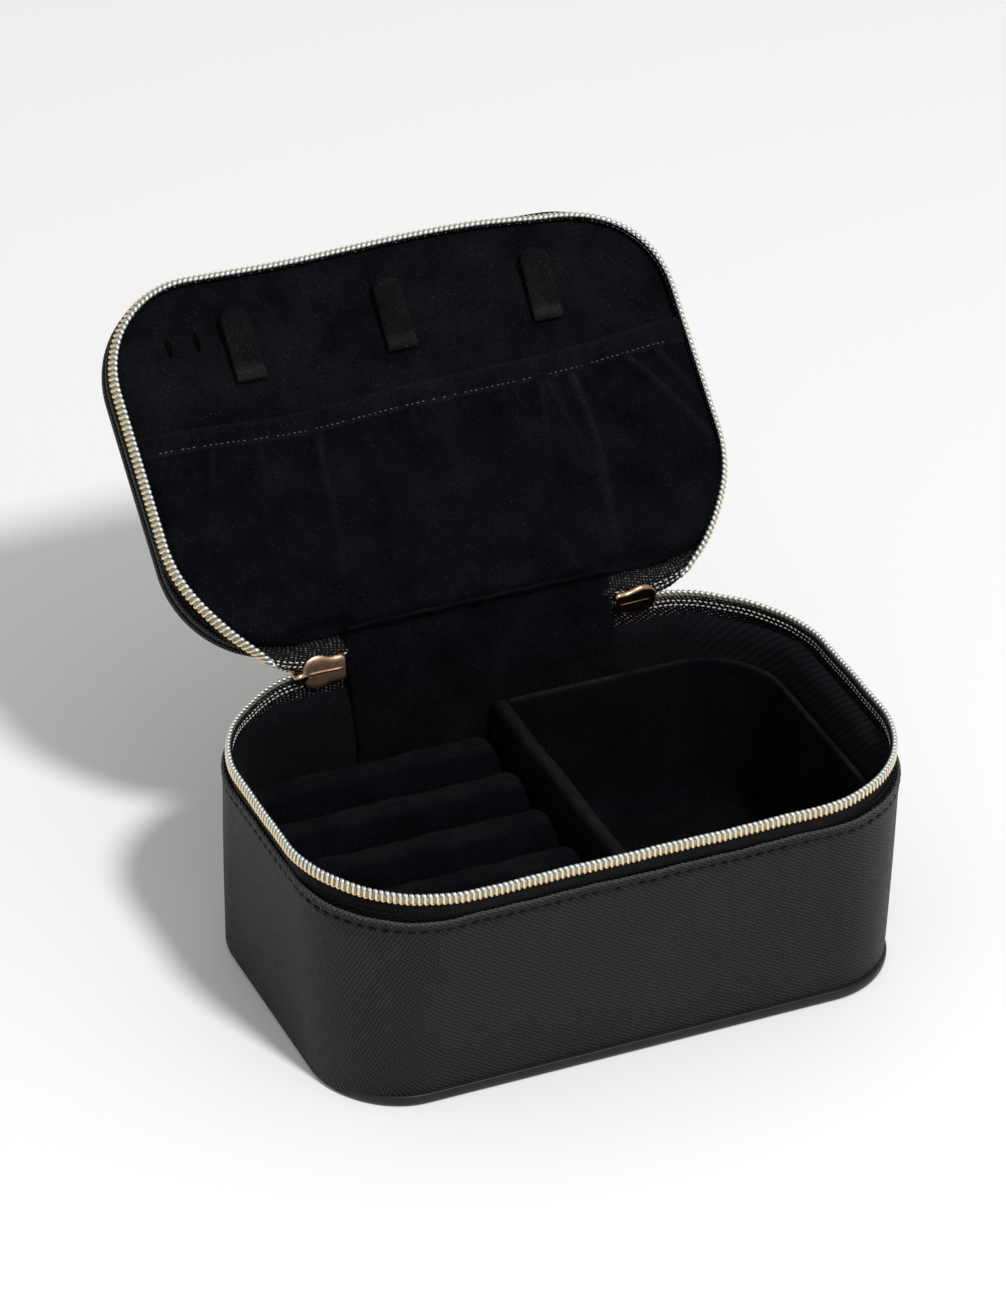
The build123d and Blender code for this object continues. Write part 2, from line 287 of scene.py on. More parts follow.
class Graph:
    """Short names for building a material's node graph."""

    def __init__(self, name):
        self.material = bpy.data.materials.new(name)
        self.material.use_nodes = True
        self.tree = self.material.node_tree
        self.surface = self.tree.nodes["Principled BSDF"]

    def node(self, kind, **inputs):
        made = self.tree.nodes.new(kind)
        for key, value in inputs.items():
            self.set(made.inputs[key.replace("_", " ")], value)
        return made

    def set(self, socket, value):
        if isinstance(value, bpy.types.NodeSocket):
            self.tree.links.new(value, socket)
        else:
            socket.default_value = value

    def math(self, kind, a, b=0.0, c=0.0):
        made = self.tree.nodes.new("ShaderNodeMath")
        made.operation = kind
        for socket, value in zip(made.inputs, (a, b, c)):
            self.set(socket, value)
        return made.outputs[0]

    def mul(self, a, b):
        return self.math("MULTIPLY", a, b)

    def add(self, a, b):
        return self.math("ADD", a, b)

    def mul_add(self, a, b, c):
        return self.math("MULTIPLY_ADD", a, b, c)

    def uv(self):
        split = self.node("ShaderNodeSeparateXYZ")
        self.tree.links.new(self.node("ShaderNodeTexCoord").outputs["UV"], split.inputs[0])
        return split.outputs[0], split.outputs[1]

    def place(self):
        """Position in the object, in mm."""
        scale = self.tree.nodes.new("ShaderNodeVectorMath")
        scale.operation = "SCALE"
        scale.inputs["Scale"].default_value = 1 / MM
        coord = self.node("ShaderNodeTexCoord").outputs["Object"]
        self.tree.links.new(coord, scale.inputs[0])
        return scale.outputs[0]

    def attribute(self, name):
        made = self.tree.nodes.new("ShaderNodeAttribute")
        made.attribute_name = name
        return made.outputs["Fac"]

    def noise(self, vector, scale, detail=3.0, roughness=0.55):
        made = self.node("ShaderNodeTexNoise", Vector=vector, Scale=scale, Detail=detail,
                         Roughness=roughness)
        return made.outputs["Fac"]

    def ramp(self, value, stops):
        made = self.tree.nodes.new("ShaderNodeValToRGB")
        self.set(made.inputs[0], value)
        elements = made.color_ramp.elements
        while len(elements) < len(stops):
            elements.new(0.5)
        for element, (place, colour) in zip(elements, stops):
            element.position = place
            element.color = (*colour, 1) if len(colour) == 3 else colour
        return made.outputs["Color"]

    def bump(self, height, distance_mm, strength=1.0, normal=None):
        made = self.node("ShaderNodeBump", Height=height, Distance=distance_mm * MM,
                         Strength=strength)
        if normal is not None:
            self.set(made.inputs["Normal"], normal)
        return made.outputs["Normal"]

    def finish(self, **inputs):
        for key, value in inputs.items():
            self.set(self.surface.inputs[key.replace("_", " ")], value)
        return self.material


def ridge(g, value, pitch):
    """0 to 1 waves along a value in mm."""
    wave = g.math("SINE", g.mul(value, 2 * math.pi / pitch))
    return g.mul_add(wave, 0.5, 0.5)


def leather_material(name, pitch=0.92, tone=1.0):
    """Crosshatched imitation leather: two sets of slanting grooves broken up by noise, and a painted
    highlight that makes it lighter where a mesh carries the painted-light point attribute."""
    g = Graph(name)
    u, v = g.uv()
    warp = g.mul(g.math("SUBTRACT", g.noise(g.place(), 0.25), 0.5), 0.9)
    a = g.add(g.mul_add(u, 0.55, g.mul(v, 0.84)), warp)
    b = g.add(g.mul_add(u, 0.87, g.mul(v, -0.49)), warp)
    first = g.math("POWER", ridge(g, a, pitch), 0.7)
    second = g.math("POWER", ridge(g, b, pitch * 1.1), 0.7)
    hatch = g.mul(first, g.mul_add(second, 0.75, 0.25))
    grain = g.noise(g.place(), 1.4, 4.0, 0.65)
    height = g.mul_add(grain, 0.45, hatch)
    mottled = g.noise(g.place(), 0.05, 3.0)
    shade = g.mul_add(hatch, 0.62, g.mul_add(mottled, 0.2, g.mul(grain, 0.18)))
    # Painted highlight: lighter where the painted-light attribute is set, along the base rim's top edge.
    shade = g.add(shade, g.mul(g.attribute("painted_light"), 0.72))
    dark, light = 0.0006 * tone, 0.0212 * tone
    colour = g.ramp(shade, [(0.22, (dark, dark, dark * 1.2)), (0.78, (light, light * 0.96, light * 1.22)),
                            (1.0, (light * 3.2, light * 3.2, light * 3.2))])
    rough = g.mul_add(grain, 0.25, 0.34)
    return g.finish(Base_Color=colour, Roughness=rough, Normal=g.bump(height, 0.46, 1.0),
                    Specular_IOR_Level=0.18)


def velvet_material(name, tone=1.0, lint=0.24, blue=1.25):
    """Short black pile: a little sheen, cloudy nap, grain, specks of lint, and a painted highlight on
    crests and edges where a mesh carries the painted-light point attribute.
    """
    g = Graph(name)
    place = g.place()
    nap = g.noise(place, 0.07, 4.0, 0.62)
    pile = g.noise(place, 2.4, 4.0, 0.85)
    cells = g.node("ShaderNodeTexVoronoi", Vector=place, Scale=0.85)
    spot = g.math("LESS_THAN", cells.outputs["Distance"], 0.16)
    rare = g.math("GREATER_THAN", g.noise(place, 0.6, 2.0), 0.54)
    fluff = g.mul(g.mul(spot, rare), lint)
    # Painted highlight: the painted-light attribute lightens crests and edges; the lint specks are the
    # fabric's own.
    extra = g.mul_add(g.attribute("painted_light"), 0.15, fluff)
    shade = g.add(g.mul_add(nap, 0.4, g.mul(pile, 0.8)), extra)
    dark, light = 0.0009 * tone, 0.0054 * tone
    colour = g.ramp(shade, [(0.50, (dark * 0.8, dark * 1.03, dark * 1.36 * blue)),
                            (0.71, (light * 0.98, light * 1.05, light * blue)),
                            (1.0, (light * 4.2, light * 4.0, light * 3.6))])
    height = g.mul_add(nap, 1.2, pile)
    return g.finish(Base_Color=colour, Roughness=0.95, Normal=g.bump(height, 0.4, 0.8),
                    Specular_IOR_Level=0.03, Sheen_Weight=0.010, Sheen_Roughness=0.3)


def lining_material(name):
    """Brushed lining with slanting ribs, and painted light that makes it lighter, with plainer ribs,
    towards the right.
    """
    g = Graph(name)
    u, v = g.uv()
    rib = ridge(g, g.mul_add(u, 0.75, g.mul(v, 0.66)), 1.9)
    side = g.node("ShaderNodeSeparateXYZ", Vector=g.place()).outputs[0]
    # Painted light: rises towards the right, lightening the lining and bringing out its ribs there.
    painted_light = g.mul_add(side, 1 / 40, -1.2)
    painted_light = g.math("MINIMUM", g.math("MAXIMUM", painted_light, 0.12), 1.0)
    fine = g.noise(g.place(), 1.8, 3.0, 0.7)
    shade = g.mul_add(g.mul(rib, painted_light), 0.42, g.mul(fine, 0.62))
    shade = g.mul_add(painted_light, 0.20, shade)
    colour = g.ramp(shade, [(0.2, (0.0014, 0.0015, 0.0021)), (0.85, (0.0124, 0.0132, 0.0162))])
    height = g.mul_add(g.mul(rib, painted_light), 0.9, fine)
    return g.finish(Base_Color=colour, Roughness=0.9, Normal=g.bump(height, 0.20, 0.6),
                    Specular_IOR_Level=0.03, Sheen_Weight=0.012)


def tape_material(name):
    """Woven zipper tape: a fine slanting weave with grey flecks."""
    g = Graph(name)
    u, v = g.uv()
    a = ridge(g, g.mul_add(v, 0.8, u), 1.15)
    b = ridge(g, g.mul_add(u, -0.30, v), 0.86)
    weave = g.mul(a, b)
    breaks = g.noise(g.place(), 1.3, 2.0)
    amount = g.mul_add(g.attribute("inner"), 0.62, 0.24)
    fleck = g.mul(g.mul(weave, amount), g.mul_add(breaks, 3.0, -0.6))
    colour = g.ramp(fleck, [(0.24, (0.0014, 0.0014, 0.0016)), (0.42, (0.026, 0.026, 0.024)),
                            (0.80, (0.30, 0.30, 0.28))])
    return g.finish(Base_Color=colour, Roughness=0.7, Normal=g.bump(weave, 0.3, 0.9),
                    Specular_IOR_Level=0.12)


def coil_material():
    """Metallised coil: gold at the loops, silver at the heads."""
    g = Graph("coil_metal")
    wobble = g.mul_add(g.noise(g.place(), 1.2, 1.0), 0.16, -0.08)
    tone = g.add(g.attribute("head"), wobble)
    colour = g.ramp(tone, [(0.06, (0.86, 0.60, 0.28)), (0.30, (0.86, 0.74, 0.50)),
                           (0.50, (0.76, 0.70, 0.54)), (0.70, (0.68, 0.70, 0.65)),
                           (0.95, (0.70, 0.73, 0.71))])
    return g.finish(Base_Color=colour, Metallic=0.8, Roughness=0.34,
                    Normal=g.bump(g.noise(g.place(), 3.0, 1.0), 0.03, 0.3))


def plain_material(name, dark, light, roughness, metallic=0.0, scale=1.0, bump=0.05, specular=0.4):
    """A noise-mottled material for threads, boards, foam and metal."""
    g = Graph(name)
    noise = g.noise(g.place(), scale, 4.0)
    colour = g.ramp(noise, [(0.3, dark), (0.7, light)])
    return g.finish(Base_Color=colour, Roughness=roughness, Metallic=metallic,
                    Specular_IOR_Level=specular, Normal=g.bump(noise, bump, 0.5))


LEATHER = leather_material("saffiano_leather")
LEATHER_LID = leather_material("saffiano_leather_lid", 0.86, 0.9)
LEATHER_SMOOTH = plain_material("smooth_leather", (0.0080, 0.0078, 0.0096), (0.0125, 0.0122, 0.0150), 0.40,
                                scale=0.15, specular=0.24)
VELVET = velvet_material("black_velvet", 1.0, 0.24, 1.36)
VELVET_PANEL = velvet_material("black_velvet_panel", 1.3)
VELVET_TAB = velvet_material("black_velvet_tab", 1.8, 0.3, 1.08)
VELVET_ROLL = velvet_material("black_velvet_roll", 0.61, 0.24, 1.5)
SLIT = velvet_material("slit_shadow", 0.25, 0.0)
LINING = lining_material("wall_lining")
TAPE = tape_material("zipper_tape")
COIL = coil_material()
CORE = plain_material("coil_core", (0.22, 0.17, 0.10), (0.34, 0.27, 0.16), 0.55)
THREAD = plain_material("black_thread", (0.0008, 0.0008, 0.001), (0.003, 0.003, 0.003), 0.7, scale=2,
                        specular=0.1)
PALE_THREAD = plain_material("pale_thread", (0.42, 0.43, 0.41), (0.72, 0.73, 0.70), 0.42, scale=2)
SEAM_THREAD = plain_material("seam_thread", (0.02, 0.02, 0.02), (0.11, 0.11, 0.11), 0.6, scale=0.9)
GREY_THREAD = plain_material("grey_thread", (0.02, 0.02, 0.02), (0.05, 0.05, 0.05), 0.6, scale=2)
GOLD = plain_material("rose_gold", (0.50, 0.31, 0.21), (0.72, 0.47, 0.33), 0.17, 1.0, 0.5, 0.02)
# Painted shade: darker copies of the rose gold for the inner slider plates, which are the same metal as the
# outer ones.
SHADED_GOLD_LEFT = plain_material("rose_gold_painted_shade_left", (0.30, 0.19, 0.13), (0.46, 0.30, 0.21), 0.40, 1.0, 0.5, 0.02)
SHADED_GOLD_RIGHT = plain_material("rose_gold_painted_shade_right", (0.36, 0.23, 0.15), (0.54, 0.35, 0.24), 0.25, 1.0, 0.5, 0.02)
EDGE = plain_material("seam_edge", (0.003, 0.003, 0.003), (0.007, 0.007, 0.007), 0.7)
BOARD = plain_material("grey_board", (0.26, 0.24, 0.21), (0.36, 0.33, 0.29), 0.9, scale=0.7)
FOAM = plain_material("foam", (0.20, 0.20, 0.20), (0.32, 0.32, 0.32), 0.95, scale=1.6, bump=0.3)
ELASTIC = plain_material("elastic", (0.01, 0.01, 0.01), (0.03, 0.03, 0.03), 0.8, scale=1.5)


# ---- base shell

SEAM = PANEL_H + 0.45
STITCH_DROP = 2.7
RIM_STITCHES = 148


def leather_profile(edge, direction, stitch):
    """Rows (height, offset) of a turned and stitched edge: edge is its height, direction points to it."""
    rows = [(-4.4, 0.06), (-3.7, 0.20), (-3.2, 0.08), (-stitch, -0.20), (-2.2, 0.10), (-1.6, 0.32)]
    rows += [(-0.9, 0.40), (-0.35, 0.33), (-0.06, 0.08), (0.0, -0.30), (-0.12, -0.66), (-0.6, -0.88)]
    return [(edge + direction * h, o) for h, o in rows]


def rim_wave(share):
    """The slight waviness of a sewn rim, from the share of the way round it."""
    along = share * 2 * math.pi
    return 0.13 * np.sin(7 * along + 0.6) + 0.10 * np.sin(17 * along + 2.0) + 0.06 * np.sin(43 * along)


FOLD = ((-0.68, -1.6), (-0.72, -2.5), (-0.92, -2.5), (-0.96, -0.9))  # the hem's folded-in edge


def left_end(points):
    """Rises to 1 at the case's left end, where the wall comes down over the bottom panel's edge."""
    return smoothstep((-points[..., 0] - 52) / 22)


def make_base_cover():
    rows = [(SEAM, -0.86), (SEAM - 0.03, -0.40), (SEAM + 0.12, -0.12), (SEAM + 0.5, 0.02)]
    heights = np.linspace(SEAM + 2, RIM_Z - 6.5, 14)
    rows += [(z, 0.02 + 0.22 * math.sin(math.pi * z / RIM_Z)) for z in heights]
    rows += leather_profile(RIM_Z, 1, STITCH_DROP)
    rows += [(RIM_Z + h, o) for h, o in FOLD] + [(RIM_Z - 6, -0.88), (30.0, -0.88)]
    points = np.stack([wall_row(*row, FINE_LOOP) for row in rows], 1)
    ring = closed_path(wall_row(RIM_Z - STITCH_DROP, 0, FINE_LOOP))
    s = run_length(ring)
    height = points[..., 2]
    share = (s / s[-1])[:-1, None]
    pucker = np.cos(2 * math.pi * s[:-1] / (s[-1] / RIM_STITCHES))[:, None]
    pucker = pucker * (0.75 + 0.25 * np.sin(50 * share + 2 * np.sin(31 * share)))
    groove = np.exp(-((height - RIM_Z + STITCH_DROP) / 0.55) ** 2)
    swell = np.exp(-((height - RIM_Z + 1.3) / 0.7) ** 2)
    level = outward(wall_row(RIM_Z, 0, FINE_LOOP))
    points += level[:, None] * (pucker * (0.24 * groove + 0.09 * swell))[..., None]
    points[..., 2] += rim_wave(share) * smoothstep((height - RIM_Z + 8) / 8)
    points[..., 2] -= left_end(points) * (2.9 * smoothstep((SEAM + 3 - height) / 3))
    cover = grid("base_side_leather", points, LEATHER, wrap_u=True, wrap_v=True)
    # Painted highlight along the rim's rounded top edge, read by the leather material.
    painted_light = [math.exp(-((RIM_Z - 0.1 - z) / 0.30) ** 2) * (o > -0.4) for z, o in rows]
    paint(cover, "painted_light", np.tile(painted_light, len(points)))
    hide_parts("base_side_cover", "base_rim_hem")
    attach(cover, "base")


def edge_stitches(name, path, tangent_spacing, length, width, out, material, body, slot, duty=1.0):
    """A row of stitches along a closed or open path; out is the way the thread stands off."""
    s = run_length(path)
    count = int(s[-1] / tangent_spacing)
    places = (np.arange(count) + 0.5) * tangent_spacing
    centre, ahead = along_path(places, s, path), along_path(places + 0.2, s, path)
    tangent = unit(ahead - centre)
    normal = along_path(places, s, out)
    side = unit(np.cross(tangent, normal))
    jitter = 1 + 0.12 * (random.random((count, 1)) - 0.5)
    keep = random.random(count) < duty
    made = many(name, centre[keep], (tangent * length / 2 * jitter)[keep],
                (side * width / 2)[keep], (normal * width / 2)[keep], material, slot)
    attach(made, body)
    return made


def closed_path(points):
    return np.vstack([points, points[:1]])


def outward(points):
    """Level outward directions of a closed loop."""
    tangent = np.roll(points, -1, 0) - np.roll(points, 1, 0)
    return unit(xyz(tangent[:, 1], -tangent[:, 0], 0))


def make_base_stitches():
    ring = wall_row(RIM_Z - STITCH_DROP, -0.10, FINE_LOOP)
    ring[:, 2] += rim_wave(np.arange(len(ring)) / len(ring))
    path = closed_path(ring)
    spacing = run_length(path)[-1] / RIM_STITCHES
    edge_stitches("base_rim_stitches", path, spacing, spacing * 0.56, 0.50,
                  closed_path(outward(ring)), THREAD, "base", "leather", 0.9)


def make_bottom():
    rows = [(PANEL_H, -0.40), (PANEL_H, 0.30), (PANEL_H - 0.22, 0.58), (PANEL_H - 0.8, 0.72),
            (1.5, 0.70), (0.75, 0.52), (0.28, 0.20), (0.05, -0.35), (0.0, -1.2)]
    points = np.stack([around(FOOT_X + o, FOOT_Y + o, FOOT_R + o, z) for z, o in rows], 1)
    points[..., 0] += 0.8 * left_end(points)
    bottom = grid("base_bottom_leather", points, LEATHER_SMOOTH, wrap_u=True, caps=True)
    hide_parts("base_bottom_cover")
    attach(bottom, "base")


def make_base_lining():
    board = node_box("base_wall_board")[1][2]
    top = ((-3, -3.50), (-0.3, -3.30), (1.0, -2.55), (1.9, -1.95), (2.5, -1.62), (2.6, -1.42), (2.0, -1.40),
           (0.7, -2.0), (0.2, -2.6), (-3, -3.2))
    rows = [(FLOOR_Z - 0.2, -3.7), (FLOOR_Z + 0.2, -3.55)] + [(z, -3.52) for z in np.linspace(8, 48, 12)]
    rows += [(board + h, o) for h, o in top] + [(30.0, -3.2), (FLOOR_Z, -3.2)]
    points = np.stack([wall_row(*row) for row in rows], 1)
    lining = grid("base_wall_fabric", points, LINING, wrap_u=True, wrap_v=True)
    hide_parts("base_wall_lining")
    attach(lining, "base")


# ---- zipper

PITCH = 1.44
WIRE = 0.31
COIL_H = 3.05
COIL_T = 1.75
COIL_DEPTH = 1.35
TAPE_T = 0.55
TAPE_REACH = 1.9
SLIDER_X = abs(sum(corner[0] for corner in node_box("slider_left"))) / 2
TAIL_X = 33.8
TAIL_START_X = 60
COIL_END_X = 37.2
SLIDER_Y = 49.3
SLIDER_TUCK = -0.7
JOIN_Z = 63.9
JOIN_GAP = 0.45
BASE_BACK_Y, LID_BACK_Y = 30, 20
BASE_DRAW_X, LID_DRAW_X = 66, 72


class Rail:
    """One half of the zipper: the tape's root, the coil's foot line, and which way it stands and faces."""

    def __init__(self, root, knee, free, at_back, face):
        keep = np.nonzero(~(at_back & (np.abs(knee[:, 0]) < TAIL_X)))[0]
        keep = np.arange(keep[0], keep[-1] + 1)
        self.root, self.knee, self.at_back = root[keep], knee[keep], at_back[keep]
        self.up = unit(free[keep] - self.knee)
        self.tangent = unit(np.gradient(self.knee, axis=0))
        self.out = unit(np.cross(self.tangent, self.up)) * face
        self.s = run_length(self.knee + self.up * COIL_H / 2)
        self.length = self.s[-1]

    def at(self, s):
        return [along_path(s, self.s, a) for a in (self.root, self.knee, self.up, self.out, self.tangent)]

    def split(self, side_x):
        """Distances along the rail where it passes |x| = side_x at the back."""
        far = np.nonzero(~(self.at_back & (np.abs(self.knee[:, 0]) < side_x)))[0]
        return self.s[far[0]], self.s[far[-1]]


def drawn_to(curve, at_back, far, y, z):
    """Draws the back of a loop to the line (y, z): fully at the slider and not at all beyond far."""
    weight = smoothstep((far - np.abs(curve[:, 0])) / (far - SLIDER_X)) * at_back
    tuck = SLIDER_TUCK * smoothstep((SLIDER_X - 1 - np.abs(curve[:, 0])) / 6)
    curve[:, 1] += (y - tuck - curve[:, 1]) * weight
    curve[:, 2] += (z - curve[:, 2]) * weight


def base_rail():
    corner = 35.0
    root = wall_row(RIM_Z - 1.2, -1.35, FINE_LOOP)
    foot_z = node_box("base_zipper_coil")[1][2] - COIL_H
    knee = around(RIM_X - 0.15, RIM_Y - 0.15, corner, foot_z, FINE_LOOP)
    free = around(RIM_X - 0.55, RIM_Y - 0.55, corner - 0.4, foot_z + COIL_H, FINE_LOOP)
    wave = 0.8 * rim_wave(np.arange(len(knee)) / len(knee) + 0.13)
    knee[:, 2] += wave
    free[:, 2] += wave
    at_back = knee[:, 1] > BASE_BACK_Y
    drawn_to(knee, at_back, BASE_DRAW_X, SLIDER_Y, JOIN_Z + JOIN_GAP - COIL_H)
    drawn_to(free, at_back, BASE_DRAW_X, SLIDER_Y, JOIN_Z + JOIN_GAP)
    return Rail(root, knee, free, at_back, 1)


LID_COIL_LOW, LID_COIL_HIGH = node_box("lid_zipper_coil", closed=True)
LEAN = math.radians(30)
LID_CORNERS = (36.0, 28.0, 29.0, 36.0)


def lid_loop(inward, z):
    low, high = LID_COIL_LOW[:2] + inward, LID_COIL_HIGH[:2] - inward
    curve = soft_loop(low, high, [r - inward for r in LID_CORNERS], z)
    curve[:, 1] += front_bow(curve)
    return curve


def lid_rail():
    across, deep = COIL_T * math.cos(LEAN), COIL_T * math.sin(LEAN)
    foot_z = LID_COIL_HIGH[2] - 0.3 + deep
    knee = lid_loop(across, foot_z)
    free = lid_loop(across + COIL_H * math.sin(LEAN), foot_z - COIL_H * math.cos(LEAN))
    root = lid_row(LID_EDGE_Z + 0.6, -1.35, FINE_LOOP)
    at_back = knee[:, 1] > LID_BACK_Y
    root, knee, free = opened(root), opened(knee), opened(free)
    drawn_to(knee, at_back, LID_DRAW_X, SLIDER_Y, JOIN_Z - JOIN_GAP + COIL_H)
    drawn_to(free, at_back, LID_DRAW_X, SLIDER_Y, JOIN_Z - JOIN_GAP)
    return Rail(root, knee, free, at_back, -1)


def tooth_path(rail, s0, s1):
    """The coil's wire between two distances along the rail: centre line, radius, height, width, tangent."""
    count = int(round((s1 - s0) / PITCH))
    pitch = (s1 - s0) / count
    steps = 16
    t = np.arange(count * steps + 1) / steps
    turn = (t % 1) * 2 * math.pi
    c, w = np.cos(turn), np.sin(turn)
    rise = 0.5 - 0.5 * np.sign(c) * np.abs(c) ** 0.75
    depth = 0.5 - 0.5 * np.sign(w) * np.abs(w) ** 0.70
    place = s0 + pitch * (t + 0.10 * np.sin(2 * turn))
    knee, up, out, tangent = rail.at(np.clip(place, s0, s1))[1:]
    low, high = WIRE, COIL_H - WIRE
    path = (knee + up * (low + (high - low) * rise)[:, None]
            + out * (WIRE + (COIL_DEPTH - 2 * WIRE) * depth)[:, None])
    head = np.exp(-(((t % 1) - 0.5) / 0.13) ** 2)
    return path, WIRE * (1 + 0.32 * head), rise, 1.14 + 0.26 * head, tangent


def make_coil(name, rail, s0, s1):
    path, radius, rise, wide, tangent = tooth_path(rail, s0, s1)
    coil = tube(name, path, radius, COIL, 8, tangent, wide)
    paint(coil, "head", np.repeat(rise, 8))
    return coil


def make_core(name, rail, s0, s1):
    s = np.linspace(s0, s1, int((s1 - s0) / 1.5))
    knee, up, out = rail.at(s)[1:4]
    path = knee + up * (COIL_H * 0.46) + out * (COIL_DEPTH * 0.5)
    return tube(name, path, 0.34, CORE, 8, up, 3.0)


def make_tape(name, rail, s0, s1):
    s = np.linspace(s0, s1, max(8, int((s1 - s0) / 1.0)))
    root, knee, up, out, tangent = rail.at(s)
    rows = []
    for t in np.linspace(0, 1, 8):
        handle = knee - up * np.linalg.norm(knee - root, axis=1)[:, None] * 0.45
        rows.append(root * (1 - t) ** 2 + handle * 2 * t * (1 - t) + knee * t * t)
    rows += [knee + up * h for h in (TAPE_REACH * 0.4, TAPE_REACH * 0.8, TAPE_REACH)]
    face = np.stack(rows, 1)
    across = np.gradient(face, axis=1)
    normal = unit(np.cross(np.broadcast_to(tangent[:, None], face.shape), across))
    normal *= np.sign((normal[:, -1] * out).sum(-1))[:, None, None]
    inner = face - normal * TAPE_T
    skin = np.concatenate([face, inner[:, ::-1]], 1)
    tape = grid(name, skin, TAPE, wrap_v=True, caps=True)
    rise = np.linspace(0, 1, face.shape[1])
    by_slider = 0.25 + 0.75 * smoothstep((76 - np.abs(knee[:, 0])) / 14) * (knee[:, 1] > LID_BACK_Y)
    inside = by_slider[:, None] * (0.45 + 0.55 * rise[None, ::-1])
    paint(tape, "inner", np.concatenate([0 * inside, inside], 1))
    return tape


def make_tape_stitches(name, rail, s0, s1):
    """Two rows of pale lockstitch on the tape's inner face, which sew the coil down."""
    rows = []
    for row, (height, phase) in enumerate(((-0.65, 0.0), (0.65, 0.5))):
        s = np.arange(s0 + 0.4 + phase * PITCH, s1 - 0.4, PITCH)
        knee, up, out, tangent = rail.at(s)[1:]
        centre = knee + up * height - out * (TAPE_T + 0.02)
        slant = unit(tangent + up * (0.25 if row else -0.1))
        rows.append((centre, slant * 0.48, np.cross(slant, out) * 0.23, out * 0.17))
    joined = [np.vstack(part) for part in zip(*rows)]
    return many(name, *joined, PALE_THREAD, "zipper_tape")


def zipper_part(name, rail, coil_ends, tape_ends):
    """A stretch of the zipper: coil, core, tape and stitches."""
    return [make_coil(name + "_coil", rail, *coil_ends), make_core(name + "_coil_core", rail, *coil_ends),
            make_tape(name + "_tape", rail, *tape_ends),
            make_tape_stitches(name + "_tape_stitches", rail, *coil_ends)]


def make_base_zipper():
    rail = base_rail()
    pieces = zipper_part("base", rail, rail.split(COIL_END_X), (0, rail.length))
    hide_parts("base_zipper_coil")
    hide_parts("base_zipper_tape")
    for piece in pieces:
        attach(piece, "base")


def make_lid_zipper():
    """The lid's half, and the two tails between base and lid, by the hinge."""
    rail = lid_rail()
    first, last = rail.split(COIL_END_X - 0.4)
    pitch = (last - first) / round((last - first) / PITCH)
    left, right = [first + pitch * round((s - first) / pitch) for s in rail.split(TAIL_START_X)]
    pieces = zipper_part("lid", rail, (left, right), (left, right))
    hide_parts("lid_zipper_coil")
    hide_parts("lid_zipper_tape")
    for piece in pieces:
        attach(piece, "lid")
    tails = (("left", -1, (first, left), (0, left)), ("right", 1, (right, last), (right, rail.length)))
    for name, side, coil_ends, tape_ends in tails:
        pieces = zipper_part("lid_" + name, rail, coil_ends, tape_ends)
        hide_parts("zip_tail_" + name)
        for piece in pieces:
            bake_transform(piece)


# ---- ring rolls and compartment

ROLL_PITCH = 17.3
END_PULL = (0.35, 0.8, 1.6, 4.0)  # how far a roll's skin draws in, row by row, at its closed end
WELL_HALF_X, WELL_HALF_Y, WELL_R = 73.6, 43.95, 18.5
LINER_T = 1.5


def well_left(y):
    """Where the well's left wall is at y, rounded corners included."""
    corner = np.clip(np.abs(y) - (WELL_HALF_Y - WELL_R), 0, WELL_R)
    return -(WELL_HALF_X - WELL_R + np.sqrt(np.maximum(WELL_R ** 2 - corner ** 2, 0)))


def roll_section(centre, half, top):
    """The outline of a roll's skin, up one side, over and down the other, as y and z."""
    phase = np.linspace(math.pi, 0, 25)
    arch_y = centre + half * np.cos(phase) * (1 - 0.02 * np.sin(phase))
    arch_z = top - half + half * np.abs(np.sin(phase)) ** 0.92
    side = np.linspace(FLOOR_Z, top - half, 7)[:-1]
    y = np.concatenate([np.full(6, centre - half), arch_y, np.full(6, centre + half)])
    return y, np.concatenate([side, arch_z, side[::-1]])


def make_roll(number):
    node = f"ring_roll_{number}"
    low, high = node_box(node)
    centre, half, top = (low[1] + high[1]) / 2, (high[1] - low[1]) / 2 - 0.02, high[2]
    if number in (1, 5):
        centre = node_box("ring_roll_3")[0][1] + half + (number - 3) * ROLL_PITCH
    y, z = roll_section(centre, half, top)
    share = np.concatenate([[0, 0.004], np.linspace(0.02, 0.955, 34), [0.975, 0.988, 0.996, 1.0, 1.0]])
    pull = np.concatenate([np.zeros(len(share) - len(END_PULL)), END_PULL])[:, None]
    away = unit(xyz(y - centre, z - (FLOOR_Z + top) / 2))
    left, right = well_left(y), high[0] - 0.1
    x = left + (right - left) * share[:, None]
    y = y - away[:, 0] * pull
    z = np.maximum(z - away[:, 1] * pull, FLOOR_Z)
    crest = smoothstep((z - top + half) / half)
    z = z + crest * 0.16 * (np.sin(x * 0.17 + number * 2.1) + np.sin(x * 0.43 + number))
    y = y + crest * 0.12 * np.sin(x * 0.23 + number * 1.3)
    roll = grid(f"ring_roll_velvet_{number}", xyz(x, y, z), VELVET_ROLL, wrap_v=True, caps=True)
    # Painted highlight along each roll's crest.
    paint(roll, "painted_light", np.exp(-((z - top) / 0.6) ** 2))
    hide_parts(node)
    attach(roll, "base")


